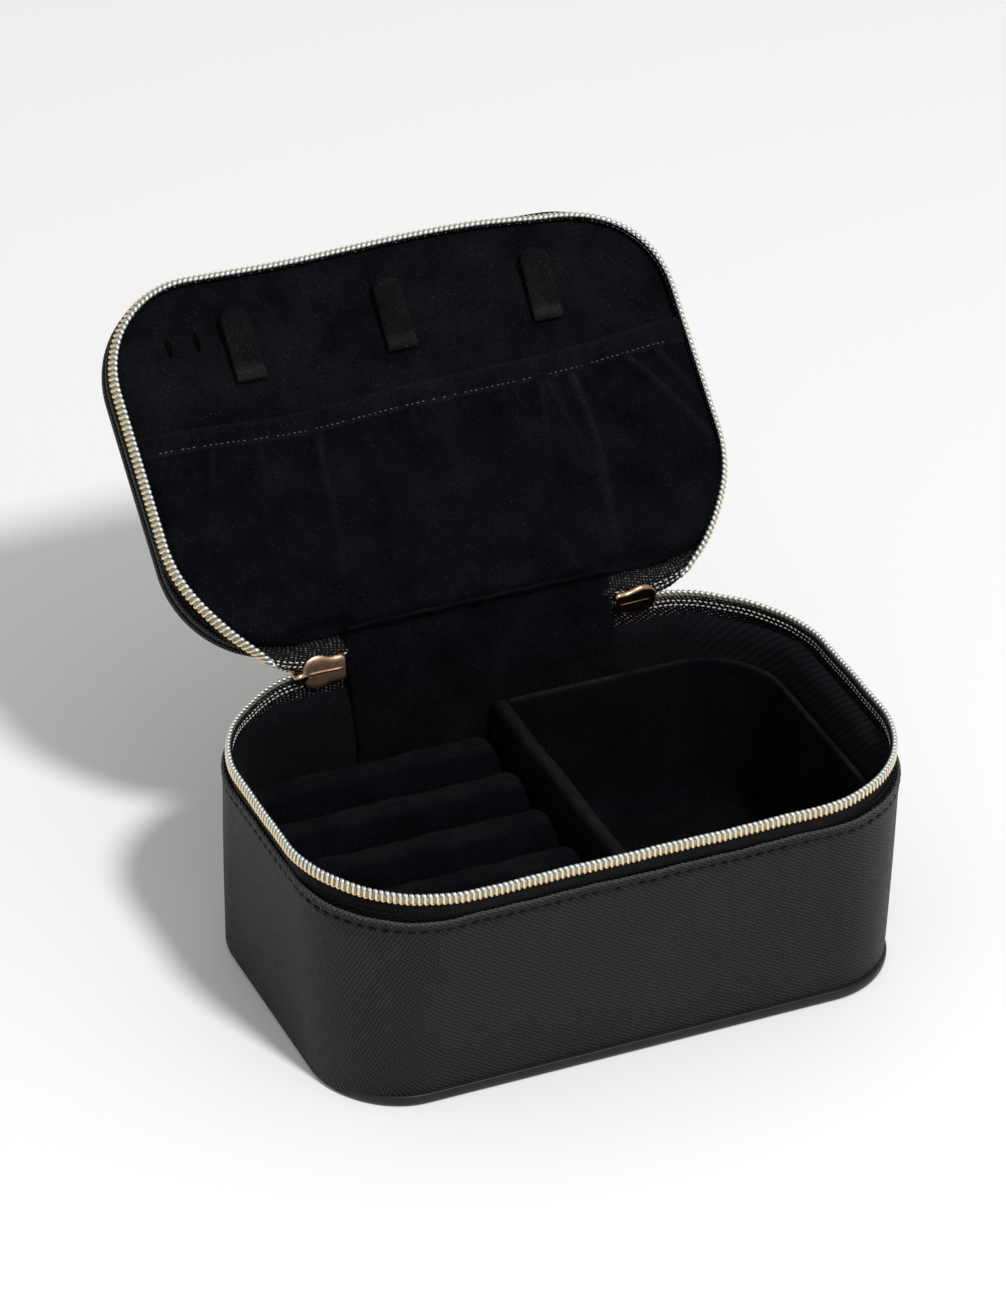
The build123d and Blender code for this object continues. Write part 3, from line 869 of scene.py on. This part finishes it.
def make_divider():
    low, high = node_box("divider_cover")
    half, mid, top = (high[0] - low[0]) / 2, (high[0] + low[0]) / 2, high[2]
    arch = np.linspace(math.pi, 0, 13)
    side = np.linspace(FLOOR_Z, top - half, 7)[:-1]
    x = np.concatenate([[-half] * 6, half * np.cos(arch), [half] * 6])
    z = np.concatenate([side, top - half + half * np.sin(arch), side[::-1]])
    y = np.linspace(low[1] + 0.2, high[1] - 0.2, 40)[:, None]
    rise = 0.15 * np.sin(y * 0.13 + 1) * (z > top - half)
    rows = xyz(mid + x + 0.12 * np.sin(y * 0.2), y, z + rise)
    wall = grid("divider_velvet", rows, VELVET, wrap_v=True, caps=True)
    # Painted highlight along the divider's top.
    paint(wall, "painted_light", np.exp(-((rows[..., 2] - top) / 0.9) ** 2))
    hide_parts("divider_cover")
    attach(wall, "base")


def make_liner():
    """The compartment's wall: a thin velvet-covered band that starts and ends at the divider."""
    high = node_box("compartment_liner")[1]
    top, half = high[2], LINER_T / 2
    ring = around(high[0], high[1], 21.0, 0, FINE_LOOP)
    path = ring[ring[:, 0] > node_box("divider_cover")[1][0] - 0.3]
    front = np.nonzero(np.abs(np.diff(path[:, 1])) > 30)[0]
    path = np.roll(path, -(front[0] + 1), 0) if len(front) else path
    path = path[::6]
    tangent = unit(np.gradient(path, axis=0))
    out = xyz(tangent[:, 1], -tangent[:, 0], 0)
    out *= np.sign((out[len(out) // 2] * path[len(path) // 2]).sum())
    arch = np.linspace(0, math.pi, 9)
    cove = ((0.5, 2.6), (1.6, 1.6), (3.4, 1.25), (3.4, 0.1))
    offset = [0] * 8 + list(-half + half * np.cos(arch)) + [-LINER_T] * 8
    offset = np.array(offset + [-LINER_T - reach for reach, rise in cove] + [0])
    height = np.concatenate([np.linspace(FLOOR_Z, top - half, 8), top - half + half * np.sin(arch),
                             np.linspace(top - half - 1, FLOOR_Z + 4.2, 8),
                             [FLOOR_Z + rise for reach, rise in cove], [FLOOR_Z - 0.1]])
    bulge = 0.25 * np.sin(np.clip((height - FLOOR_Z) / (top - FLOOR_Z), 0, 1) * math.pi)
    points = path[:, None] + out[:, None] * (offset - bulge * (offset < -1))[None, :, None]
    points[..., 2] = height
    liner = grid("compartment_velvet", points, VELVET, wrap_v=True, caps=True)
    # Painted highlight along the liner's rim.
    paint(liner, "painted_light", np.exp(-((points[..., 2] - top) / 0.8) ** 2))
    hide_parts("compartment_liner")
    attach(liner, "base")


def disc(shares, half_x, half_y, radius, z_of):
    """A filled rounded rectangle as shrinking rings; z_of gives the height at each point and share."""
    shares = np.array(shares)
    points = around(half_x, half_y, radius, 0)[:, None] * shares[:, None]
    points[..., 2] = z_of(points[..., 0], points[..., 1], shares[None, :])
    return points


# ---- lid shell

def make_lid_cover():
    rows = [(LID_SEAM_Z - 0.05, -0.85), (LID_SEAM_Z + 0.02, -0.30), (LID_SEAM_Z - 0.25, 0.02),
            (LID_SEAM_Z - 0.8, 0.10), (LID_EDGE_Z + 1.4, 0.16)]
    rows += leather_profile(LID_EDGE_Z, -1, 1.9)[6:]
    rows += [(LID_EDGE_Z + 0.66, -1.6), (LID_EDGE_Z + 0.66, -2.5), (LID_EDGE_Z + 0.8, -2.5)]
    rows += [(LID_EDGE_Z + 0.8, -0.9)]
    follow = [0.42 - 0.26 * smoothstep((z - LID_SEAM_Z + 2.2) / 1.6) for z, o in rows]
    points = np.stack([lid_row(z, o, follow=share) for (z, o), share in zip(rows, follow)], 1)
    cover = grid("lid_side_leather", opened(points), LEATHER_LID, wrap_u=True, wrap_v=True)
    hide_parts("lid_side_cover", "lid_rim_hem")
    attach(cover, "lid")


def make_lid_top():
    low = LID_SEAM_Z + 0.35
    rows = [(low, -0.6), (low, 0.10), (low + 0.2, 0.30), (low + 0.7, 0.42), (low + 1.6, 0.40),
            (LID_TOP_Z - 0.9, 0.28), (LID_TOP_Z - 0.35, 0.0), (LID_TOP_Z - 0.08, -0.7)]
    inner = disc((0.97, 0.93, 0.86, 0.76, 0.62, 0.45, 0.25, 0.08), LID_X, LID_Y, LID_R,
                 lambda x, y, k: LID_TOP_Z + 0.9 * (1 - k ** 2) + 0 * x)

    def skin(spread):
        edge = [lid_row(z, o + spread * (LID_TOP_Z - z), follow=0.12) for z, o in rows]
        return np.concatenate([np.stack(edge, 1), inner], 1)

    top = grid("lid_top_leather", opened(skin(0)), LEATHER_LID, wrap_u=True, caps=True,
               plan=skin(1))
    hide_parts("lid_top_cover")
    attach(top, "lid")


# ---- lid lining

FACE_Z = PANEL_LOW[2]
PANEL_X, PANEL_Y, PANEL_R = PANEL_HIGH[0], PANEL_HIGH[1], 25.1
SWELL = 1.1
SLITS = (-59.2, -51.6)
SLIT_Y = -31.8


def right_reach(x):
    """The padding reaches a little further on the right."""
    return 1.0 * smoothstep((x - 52) / 18)


PANEL_PRESSED_Z, POCKET_PRESSED_Z = 69.75, 69.2


def slider_room(points, height):
    """Padding pressed back to a height by the slider plates, which it meets when the lid is shut."""
    beside = smoothstep((10 - np.abs(np.abs(points[..., 0]) - SLIDER_X)) / 3)
    press = beside * smoothstep((points[..., 1] - 45.0) / 1.6)
    points[..., 2] += press * np.maximum(height - points[..., 2], 0)


def panel_height(x, y, k):
    """The padded panel's face with the lid closed: lower is nearer to the contents."""
    edge = np.clip((1 - k) * PANEL_Y, 0, 2.6) / 2.6
    rounded = 1.7 * (1 - np.sqrt(np.clip(1 - (1 - edge) ** 2, 0, 1)))
    soft = 0.16 * np.sin(x * 0.071 + 0.5) * np.sin(y * 0.093 + 1.1)
    for slit in SLITS:
        past_end = np.maximum(np.abs(y - SLIT_Y) - 2.2, 0)
        soft = soft - 0.5 * np.exp(-((x - slit) / 1.1) ** 2) * np.exp(-past_end ** 2 / 0.9)
    return FACE_Z + rounded + soft


def make_panel():
    shares = [1.0, 0.997, 0.99, 0.98, 0.965, 0.945] + list(np.linspace(0.92, 0.03, 46))
    size = (PANEL_X + SWELL, PANEL_Y + SWELL, PANEL_R + SWELL)
    face = disc(shares, *size, panel_height)
    face[..., 1] += 0.5 * smoothstep((-face[..., 1] - 30) / 18)
    sides = ((PANEL_HIGH[2], 2.4), (LID_EDGE_Z + 0.3, 2.3), (LID_EDGE_Z - 0.25, 0.9), (FACE_Z + 2.4, 0.12))
    edge = [around(*[v - inset for v in size], z) for z, inset in sides]
    points = np.concatenate([np.stack(edge, 1), face], 1)
    points[..., 0] += right_reach(points[..., 0])
    points[..., 1] += 0.75 * front_bow(points)
    slider_room(points, PANEL_PRESSED_Z)
    points = opened(points)
    panel = grid("lid_panel_velvet", points, VELVET_PANEL, wrap_u=True, caps=True)
    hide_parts("lid_panel_cover")
    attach(panel, "lid")
    # Painted shadow: a small dark sheet in the dip at each slit stands for the shade inside it.
    for number, x in enumerate(SLITS, 1):
        y = SLIT_Y + np.linspace(-2.6, 2.6, 12)
        half = 0.75 * np.sin(np.linspace(0.12, math.pi - 0.12, 12)) ** 0.6
        rows = xyz(x + half[:, None] * np.linspace(-1, 1, 5), y[:, None], FACE_Z - 0.50)
        slit = grid(f"lid_slit_shadow_{number}", opened(rows), SLIT)
        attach(slit, "lid")


def tablet(name, half_width, line, thickness, material, crown):
    """A flat strap or plate: half_width(t) along it, line(t) its path, and x across it."""
    t = np.linspace(0, 1, 30)
    centre = line(t)
    normal = unit(np.cross(unit(np.gradient(centre, axis=0)), X_AXIS))
    width = np.array([half_width(v) for v in t])
    half_thick = thickness / 2 * np.minimum(1, width / width.max() + 0.15)
    rows = []
    for a in np.linspace(0, 2 * math.pi, 24, endpoint=False):
        c, s = math.cos(a), math.sin(a)
        flat = math.copysign(abs(c) ** 0.55, c)
        lift = math.copysign(abs(s) ** 0.7, s)
        height = half_thick * lift + crown * (1 - flat ** 2) * max(s, 0)
        rows.append(centre + X_AXIS * (width * flat)[:, None] + normal * height[:, None])
    return grid(name, np.stack(rows, 1), material, wrap_v=True, caps=True)


def make_hook(number):
    node = f"necklace_hook_{number}"
    low, high = node_box(node, closed=True)
    x, y_free, y_sewn = (low[0] + high[0]) / 2, low[1] + 1.5, high[1]
    half = (high[0] - low[0]) / 2 - 0.2
    length = y_sewn - y_free

    def line(t):
        y = y_sewn - 0.2 - (length - 0.4) * t
        lift = 1.25 + 1.7 * smoothstep(t * 1.1) + 0.35 * np.sin(t * 3.0)
        lift = lift + 0.75 * np.exp(-((t - 0.10) / 0.07) ** 2)
        return xyz(x + 0.6 * (number - 2) * t, y, FACE_Z - lift)

    def width(t):
        round_end = max(0.0, (t - 1 + half / length) / (half / length))
        return half * math.sqrt(max(1 - round_end ** 2, 0.0004)) * (1 - 0.05 * math.sin(math.pi * t))

    strap = tablet(f"necklace_tab_{number}", width, line, 1.5, VELVET_TAB, 0.2)
    strap.data.transform(lid_matrix())
    # Painted highlight on the tab's fold near its sewn end.
    paint(strap, "painted_light", np.repeat(np.exp(-((np.linspace(0, 1, 30) - 0.10) / 0.09) ** 2), 24))
    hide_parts(node)
    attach(strap, "lid")
    s = np.linspace(-half + 0.6, half - 0.6, 9)
    centre = xyz(x + s, y_sewn - 0.9, FACE_Z - 1.75)
    place = opened(centre)
    side, up = [opened(centre + step) - place for step in ((0, 0.16, 0), (0, 0, 0.16))]
    stitches = many(f"necklace_tab_stitches_{number}", place, np.tile((0.30, 0, 0), (9, 1)), side, up,
                    GREY_THREAD, "tab")
    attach(stitches, "lid")


def lid_matrix():
    """Closed lid to open lid, in metres."""
    pivot = Vector((0, HINGE_Y * MM, HINGE_Z * MM))
    turn = Matrix.Rotation(math.radians(-OPEN_ANGLE), 4, "X")
    return Matrix.Translation(pivot) @ turn @ Matrix.Translation(-pivot)


# ---- pocket

FREE_Y, SEW_Y = [corner[1] for corner in node_box("pocket_band", closed=True)]
POCKET_X, POCKET_Y = node_box("pocket_panel", closed=True)[1][:2]
# Folds of the gathered pocket: where each starts along the band, its slant, length, height and width.
FOLDS = ((64.7, 0.63, 24, 1.5, 1.0), (57.0, 0.67, 36, 1.8, 1.1), (48.3, -0.05, 12, 1.1, 1.0),
         (43.0, -0.04, 60, 1.7, 1.1), (36.2, 0.12, 26, 1.3, 1.0), (32.7, -0.14, 26, 1.4, 1.0),
         (25.2, 0.17, 10, 0.9, 0.9), (12.0, -0.06, 11, 0.9, 1.0), (-1.5, 0.10, 14, 1.0, 1.1),
         (-13.0, 0.04, 12, 0.8, 1.0), (-27.5, -0.15, 50, 1.4, 1.2), (-44.0, -0.22, 22, 1.1, 1.1),
         (-56.5, -0.36, 26, 1.2, 1.1), (-66.0, -0.30, 14, 0.9, 1.0))
POCKET_END = PANEL_Y + SWELL + 0.3
EDGE_X, EDGE_R = PANEL_X + SWELL + 0.3, PANEL_R + SWELL + 0.3


def band_sag(x):
    """How far the pocket's hem strays from a straight line."""
    dip = 1.5 * np.exp(-((x + 33) / 20) ** 2)
    return 0.5 * np.cos(x / POCKET_X * 2.2) - 0.55 * x / POCKET_X + dip - 1.7 * smoothstep((x - 38) / 36)


def pocket_ridges(x, y):
    """Height of the folds that spread from the hem."""
    down = y - SEW_Y
    ridges = 0 * x
    for fold_x, slant, length, height, width in FOLDS:
        line = fold_x + slant * down + 0.9 * np.sin(down * 0.12 + fold_x)
        fade = np.exp(-np.maximum(down, 0) / length) * smoothstep((down + 1) / 3)
        across = np.abs(x - line) / (width * (1 + down * 0.02))
        ridges = ridges + height * fade * np.exp(-across ** 1.5)
    return ridges


def pocket_lift(x, y):
    """How far the pocket stands off the panel, folds left out."""
    down = y - SEW_Y
    half_room = np.sqrt(np.clip(1 - (np.abs(x) / (POCKET_X + 2)) ** 6, 0, 1))
    depth = np.clip(down / (POCKET_Y - SEW_Y), 0, 1)
    lift = 0.9 + 1.3 * np.sin(math.pi * depth ** 0.8) * half_room
    gather = 0.26 * np.sin(x * 1.45 + 0.8 * np.sin(x * 0.31)) * np.exp(-np.maximum(down, 0) / 5)
    return np.maximum(lift + gather * smoothstep((down + 2) / 3), 0.55)


def edge_distance(x, y):
    """Distance inside the padded panel's outline."""
    across = np.maximum(np.abs(x) - (EDGE_X - EDGE_R), 0)
    down = np.maximum(y - (POCKET_END - EDGE_R), 0)
    return EDGE_R - np.hypot(across, down)


PILLOW = 2.6  # how far in from its edge the padding is rounded


def make_pocket():
    """The gathered pocket: sewn under its hem at the front and round the panel's edge elsewhere."""
    y = list(np.linspace(SEW_Y, SEW_Y + 12, 22)) + list(np.linspace(SEW_Y + 13, POCKET_END - 0.02, 50))
    t = np.linspace(-1, 1, 260)
    rows, painted_light = [], []
    for v in y:
        corner = max(v - (POCKET_END - EDGE_R), 0.0)
        x = t * (EDGE_X - EDGE_R + math.sqrt(max(EDGE_R ** 2 - corner ** 2, 0.0)))
        inside = np.clip(edge_distance(x, v) / PILLOW, 0, 1)
        ridges = pocket_ridges(x, v) * smoothstep(inside)
        rounded = PILLOW * quarter_round(inside)
        face = FACE_Z - 0.45 - (pocket_lift(x, v) - 0.4) * smoothstep(inside) - ridges + rounded
        shift = band_sag(x) * (1 - smoothstep((v - SEW_Y) / 14))
        rows.append(xyz(x + right_reach(x), v + shift, face))
        # Painted highlight on the crests of the folds.
        painted_light.append(np.clip(ridges * 0.9 - 0.35, 0, 1))
    points = np.stack(rows)
    slider_room(points, POCKET_PRESSED_Z)
    pocket = grid("pocket_velvet", opened(points), VELVET)
    paint(pocket, "painted_light", painted_light)
    thick = pocket.modifiers.new("thickness", "SOLIDIFY")
    thick.thickness = 0.7 * MM
    thick.offset = 0
    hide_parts("pocket_panel")
    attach(pocket, "lid")


def make_band():
    """The pocket's elastic hem: a puckered double band with a row of stitches, and the elastic in it."""
    x = np.linspace(-EDGE_X + 0.1, EDGE_X - 0.1, 240)
    inside = np.clip((EDGE_X - np.abs(x)) / PILLOW, 0, 1)
    rounded = 2.4 * quarter_round(inside)
    sag, wide = band_sag(x), 1.06 + 0.10 * x / POCKET_X
    pucker = 0.16 * np.sin(x * 1.45 + 0.8 * np.sin(x * 0.31)) + 0.10 * np.sin(x * 0.6 + 1)
    profile = [(0.0, 0.35), (0.0, 1.0), (0.5, 1.65), (1.5, 2.0), (3.0, 2.0), (4.3, 1.75), (5.1, 1.30),
               (5.7, 1.48), (6.2, 1.25), (6.2, 0.35)]

    def at(across, height):
        return xyz(x + right_reach(x), FREE_Y + across * wide + sag, height + rounded)

    rows = [at(across, FACE_Z - 0.05 - lift - (0.24 if lift < 0.5 else 0.8) * pucker)
            for across, lift in profile]
    band = grid("pocket_band_velvet", opened(np.stack(rows, 1)), VELVET_PANEL, wrap_v=True,
                caps=True)
    # Painted highlight along the band's rounded free edge and the ridge by its stitch line.
    paint(band, "painted_light", np.tile([0, 0.3, 0.5, 0.1, 0, 0, 0.2, 0.5, 0.4, 0], len(x)))
    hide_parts("pocket_band")
    strip = ((1.2, 0.7), (1.2, 1.3), (4.0, 1.2), (4.0, 0.7))
    inner = [at(across, FACE_Z - lift) for across, lift in strip]
    elastic = grid("pocket_elastic_strip", opened(np.stack(inner, 1)), ELASTIC, wrap_v=True,
                   caps=True)
    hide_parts("pocket_elastic")
    for piece in (band, elastic):
        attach(piece, "lid")
    sewn = np.abs(x) < POCKET_X - 1
    height = FACE_Z - 1.56 - pucker * 0.8
    line = opened(at(5.1, height))[sewn]
    up = opened(at(5.1, height - 1))[sewn] - line
    edge_stitches("pocket_stitches", line, 1.5, 0.75, 0.34, unit(up), SEAM_THREAD, "lid", "velvet", 0.85)


# ---- hinge flap

FLAP_LOW, FLAP_HIGH = node_box("hinge_flap_lining")
# The flap's two layers from the base's wall to the lid, as (y, z), and their lengths laid flat.
LINING_PATH = ((45.0, 34.0), (45.9, 54.8), (47.3, 59.4), (48.6, 63.0), (51.2, 71.2), (51.7, 72.0),
               (51.0, 72.9), (48.8, 75.0))
COVER_PATH = ((48.7, 52.5), (48.8, 55.4), (49.2, 60.0), (50.4, 63.8), (52.6, 67.7), (54.1, 69.2))


def flap_skin(name, path, half_thick, material, slant=0.0):
    """A strip of fabric over a path of (y, z) points; slant moves its lower part sideways."""
    path = np.array(path, float)
    s = run_length(path)
    fine = np.linspace(0, s[-1], 60)
    line = along_path(fine, s, path)
    for k in (0, 1):
        line[2:-2, k] = np.convolve(line[:, k], np.ones(5) / 5, "same")[2:-2]
    tangent = unit(np.gradient(line, axis=0))
    normal = xyz(-tangent[:, 1], tangent[:, 0])
    x = np.linspace(FLAP_LOW[0], FLAP_HIGH[0], 64)
    row = np.arange(60)[:, None]
    ripple = 0.22 * np.sin(x * 0.21 + row * 0.05) * np.sin(math.pi * row / 59)
    ripple = ripple + 0.12 * np.sin(x * 0.53 + row * 0.11 + 1.0)
    drift = slant * (1 - smoothstep(fine / s[-1] / 0.7))
    across = x + drift[:, None]
    face, back = [np.dstack([across, line[:, None] + normal[:, None] * (ripple + half)[..., None]])
                  for half in (half_thick, -half_thick)]
    points = np.concatenate([face, back[:, ::-1]], 1)
    return grid(name, points, material, wrap_v=True, caps=True)


def make_flap():
    lining = flap_skin("hinge_flap_velvet", LINING_PATH, 0.42, VELVET, 2.2)
    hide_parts("hinge_flap_lining")
    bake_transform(lining)
    cover = flap_skin("hinge_flap_leather", COVER_PATH, 0.36, LEATHER)
    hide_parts("hinge_flap_cover")
    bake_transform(cover)


# ---- sliders and pullers

PLATE_HALF, PLATE_T = 4.6, 0.45
PIVOT_Y, PIVOT_Z = 54.0, 62.6


def plate(name, middle, side, y, facing, length, z0, tilt, material):
    """One shield-shaped plate of a slider: a crowned face with a ridge, whose edges turn to the tape."""
    u = np.linspace(0, 1, 34)[:, None]
    w = np.linspace(-1, 1, 61)[None, :]
    nose = np.clip(u / 0.34, 0, 1)
    half = PLATE_HALF * np.sqrt(np.clip(1 - (1 - nose) ** 2, 0.0005, 1))
    half = half * (1 - 0.24 * smoothstep((u - 0.38) / 0.4)) * (1 - 0.10 * smoothstep((u - 0.93) / 0.07))
    lift = 0.10 * (1 - w * w) - np.abs(w) ** 9 * (0.35 + 0.65 * smoothstep((u - 0.05) / 0.25))
    ridge_ends = smoothstep((u - 0.12) / 0.1) * (1 - smoothstep((u - 0.86) / 0.08))
    lift = lift + 0.20 * np.exp(-((w - 0.05) / 0.05) ** 2) * ridge_ends
    lift = lift - 0.5 * (1 - np.sqrt(np.clip(1 - (1 - np.clip(u / 0.12, 0, 1)) ** 2, 0, 1)))
    x = middle + side * (length / 2 - length * u)
    face = xyz(x, y + half * w * math.sin(tilt) + facing * lift, z0 + half * w)
    back = face.copy()
    back[..., 1] -= facing * PLATE_T
    points = np.concatenate([face, back[:, ::-1]], 1)
    return grid(name, points, material, wrap_v=True, caps=True)


def make_slider(side, name):
    """Inner plate, outer plate, the post between them and the bow that the puller hangs from."""
    left = side < 0
    box_low, box_high = node_box("slider_" + name)
    front, z0 = box_low[1], (box_low[2] + box_high[2]) / 2 + 0.6
    middle = side * SLIDER_X - (0.5 if left else 0.4)
    # The inner plates take the darker rose gold copies: painted shade.
    inner = plate(f"slider_{name}_inner_plate", middle, side, front + 0.55, -1, 11.6, z0,
                  math.radians(11 if left else -9), SHADED_GOLD_LEFT if left else SHADED_GOLD_RIGHT)
    outer = plate(f"slider_{name}_outer_plate", middle, side, 51.6, 1, 11.0, z0, 0.0, GOLD)
    post_x = middle + side * (6.6 if left else 3.6)
    post_y = np.linspace(front - 0.4 if left else front + 0.5, front + 4.1, 8)
    post = tube(f"slider_{name}_post", xyz(post_x, post_y, z0), 1.2, GOLD, 12, X_AXIS, 1.5)
    a = np.linspace(0, math.pi, 22)
    bow_y = 52.0 + 2.15 * np.sin(a) ** 0.8
    bow_path = xyz(side * SLIDER_X + 3.6 * np.cos(a), bow_y, z0 - 0.4)
    bow = tube(f"slider_{name}_bow", bow_path, 0.55, GOLD, 10)
    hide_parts("slider_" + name)
    for piece in (inner, outer, post, bow):
        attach(piece, "base")


def make_puller(name):
    low, high = node_box("puller_" + name)
    middle = (low[0] + high[0]) / 2
    a = np.linspace(0, 2 * math.pi, 25)
    ring_path = xyz(middle, PIVOT_Y + 1.12 * np.sin(a), PIVOT_Z + 1.12 * np.cos(a))
    eye = tube(f"puller_{name}_eye", ring_path, 0.40, GOLD, 10, X_AXIS, 2.6)
    length = PIVOT_Z - 1.1 - low[2]

    def line(t):
        return xyz(middle, PIVOT_Y, PIVOT_Z - 1.3 - (length - 0.3) * t)

    def width(t):
        body = 1.5 + 1.7 * smoothstep((t - 0.1) / 0.6)
        end = max(0.0, (t - 0.84) / 0.16)
        return body * math.sqrt(max(1 - end ** 2, 0.001))

    tab = tablet(f"puller_{name}_tab", width, line, 1.0, GOLD, 0.12)
    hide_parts("puller_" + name)
    for piece in (eye, tab):
        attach(piece, "puller_" + name)


# ---- carried-over CAD nodes

def finish_cad_nodes():
    looks = {"base_seam_piping": EDGE, "lid_seam_piping": EDGE, "base_bottom_board": BOARD,
             "base_wall_board": BOARD, "divider_board": BOARD, "lid_wall_board": BOARD,
             "lid_top_board": BOARD, "base_floor_lining": VELVET, "compartment_floor": VELVET,
             "ring_roll_foams": FOAM, "lid_pad_foam": FOAM}
    for name, material in looks.items():
        data = frame["nodes"][name].data
        data.materials.clear()
        data.materials.append(material)


# ---- stage

KEY_PLACE, KEY_TARGET = Vector((0.262, -1.235, 1.872)), Vector((0, 0, 0.03))
KEY_SIZE, KEY_POWER = 0.30, 37
SKY_STRENGTH = 0.56
CAMERA_PLACE = Vector((-0.56035, -1.14953, 0.93044))
CAMERA_RIGHT, CAMERA_UP = Vector((0.91120, -0.41108, 0.02691)), Vector((0.20557, 0.51033, 0.83505))
CAMERA_BACK = Vector((-0.35700, -0.75537, 0.54952))
LENS = 174.47


def make_stage():
    g = Graph("pale_floor")
    bpy.ops.mesh.primitive_plane_add(size=12, location=(0, 2, 0))
    floor = bpy.context.object
    floor.name = "floor"
    floor.data.materials.append(g.finish(Base_Color=(0.885, 0.89, 0.892, 1), Roughness=0.9,
                                         Specular_IOR_Level=0.1))


def make_lights():
    world = bpy.data.worlds.new("soft_room")
    bpy.context.scene.world = world
    world.use_nodes = True
    sky = world.node_tree.nodes["Background"]
    sky.inputs["Color"].default_value = (1.0, 1.0, 0.975, 1)
    sky.inputs["Strength"].default_value = SKY_STRENGTH
    light = bpy.data.lights.new("key", "AREA")
    light.shape = "DISK"
    light.size = KEY_SIZE
    light.energy = KEY_POWER
    light.color = (0.985, 0.99, 1.0)
    key = bpy.data.objects.new("key", light)
    key.location = KEY_PLACE
    key.rotation_euler = (KEY_TARGET - KEY_PLACE).to_track_quat("-Z", "Y").to_euler()
    bpy.context.scene.collection.objects.link(key)


def make_camera():
    data = bpy.data.cameras.new("camera")
    data.sensor_width = 36
    data.sensor_fit = "AUTO"
    data.lens = LENS
    data.clip_end = 50
    camera = bpy.data.objects.new("camera", data)
    turn = Matrix((CAMERA_RIGHT, CAMERA_UP, CAMERA_BACK)).transposed().to_4x4()
    camera.matrix_world = Matrix.Translation(CAMERA_PLACE) @ turn
    bpy.context.scene.collection.objects.link(camera)
    bpy.context.scene.camera = camera


make_base_cover()
make_base_stitches()
make_bottom()
make_base_lining()
make_base_zipper()
make_lid_zipper()
for number in range(1, 6):
    make_roll(number)
make_divider()
make_liner()
make_lid_cover()
make_lid_top()
make_panel()
for number in range(1, 4):
    make_hook(number)
make_pocket()
make_band()
make_flap()
for side, name in ((-1, "left"), (1, "right")):
    make_slider(side, name)
    make_puller(name)
finish_cad_nodes()
make_stage()
make_lights()
make_camera()
bpy.context.scene.view_settings.view_transform = "Standard"
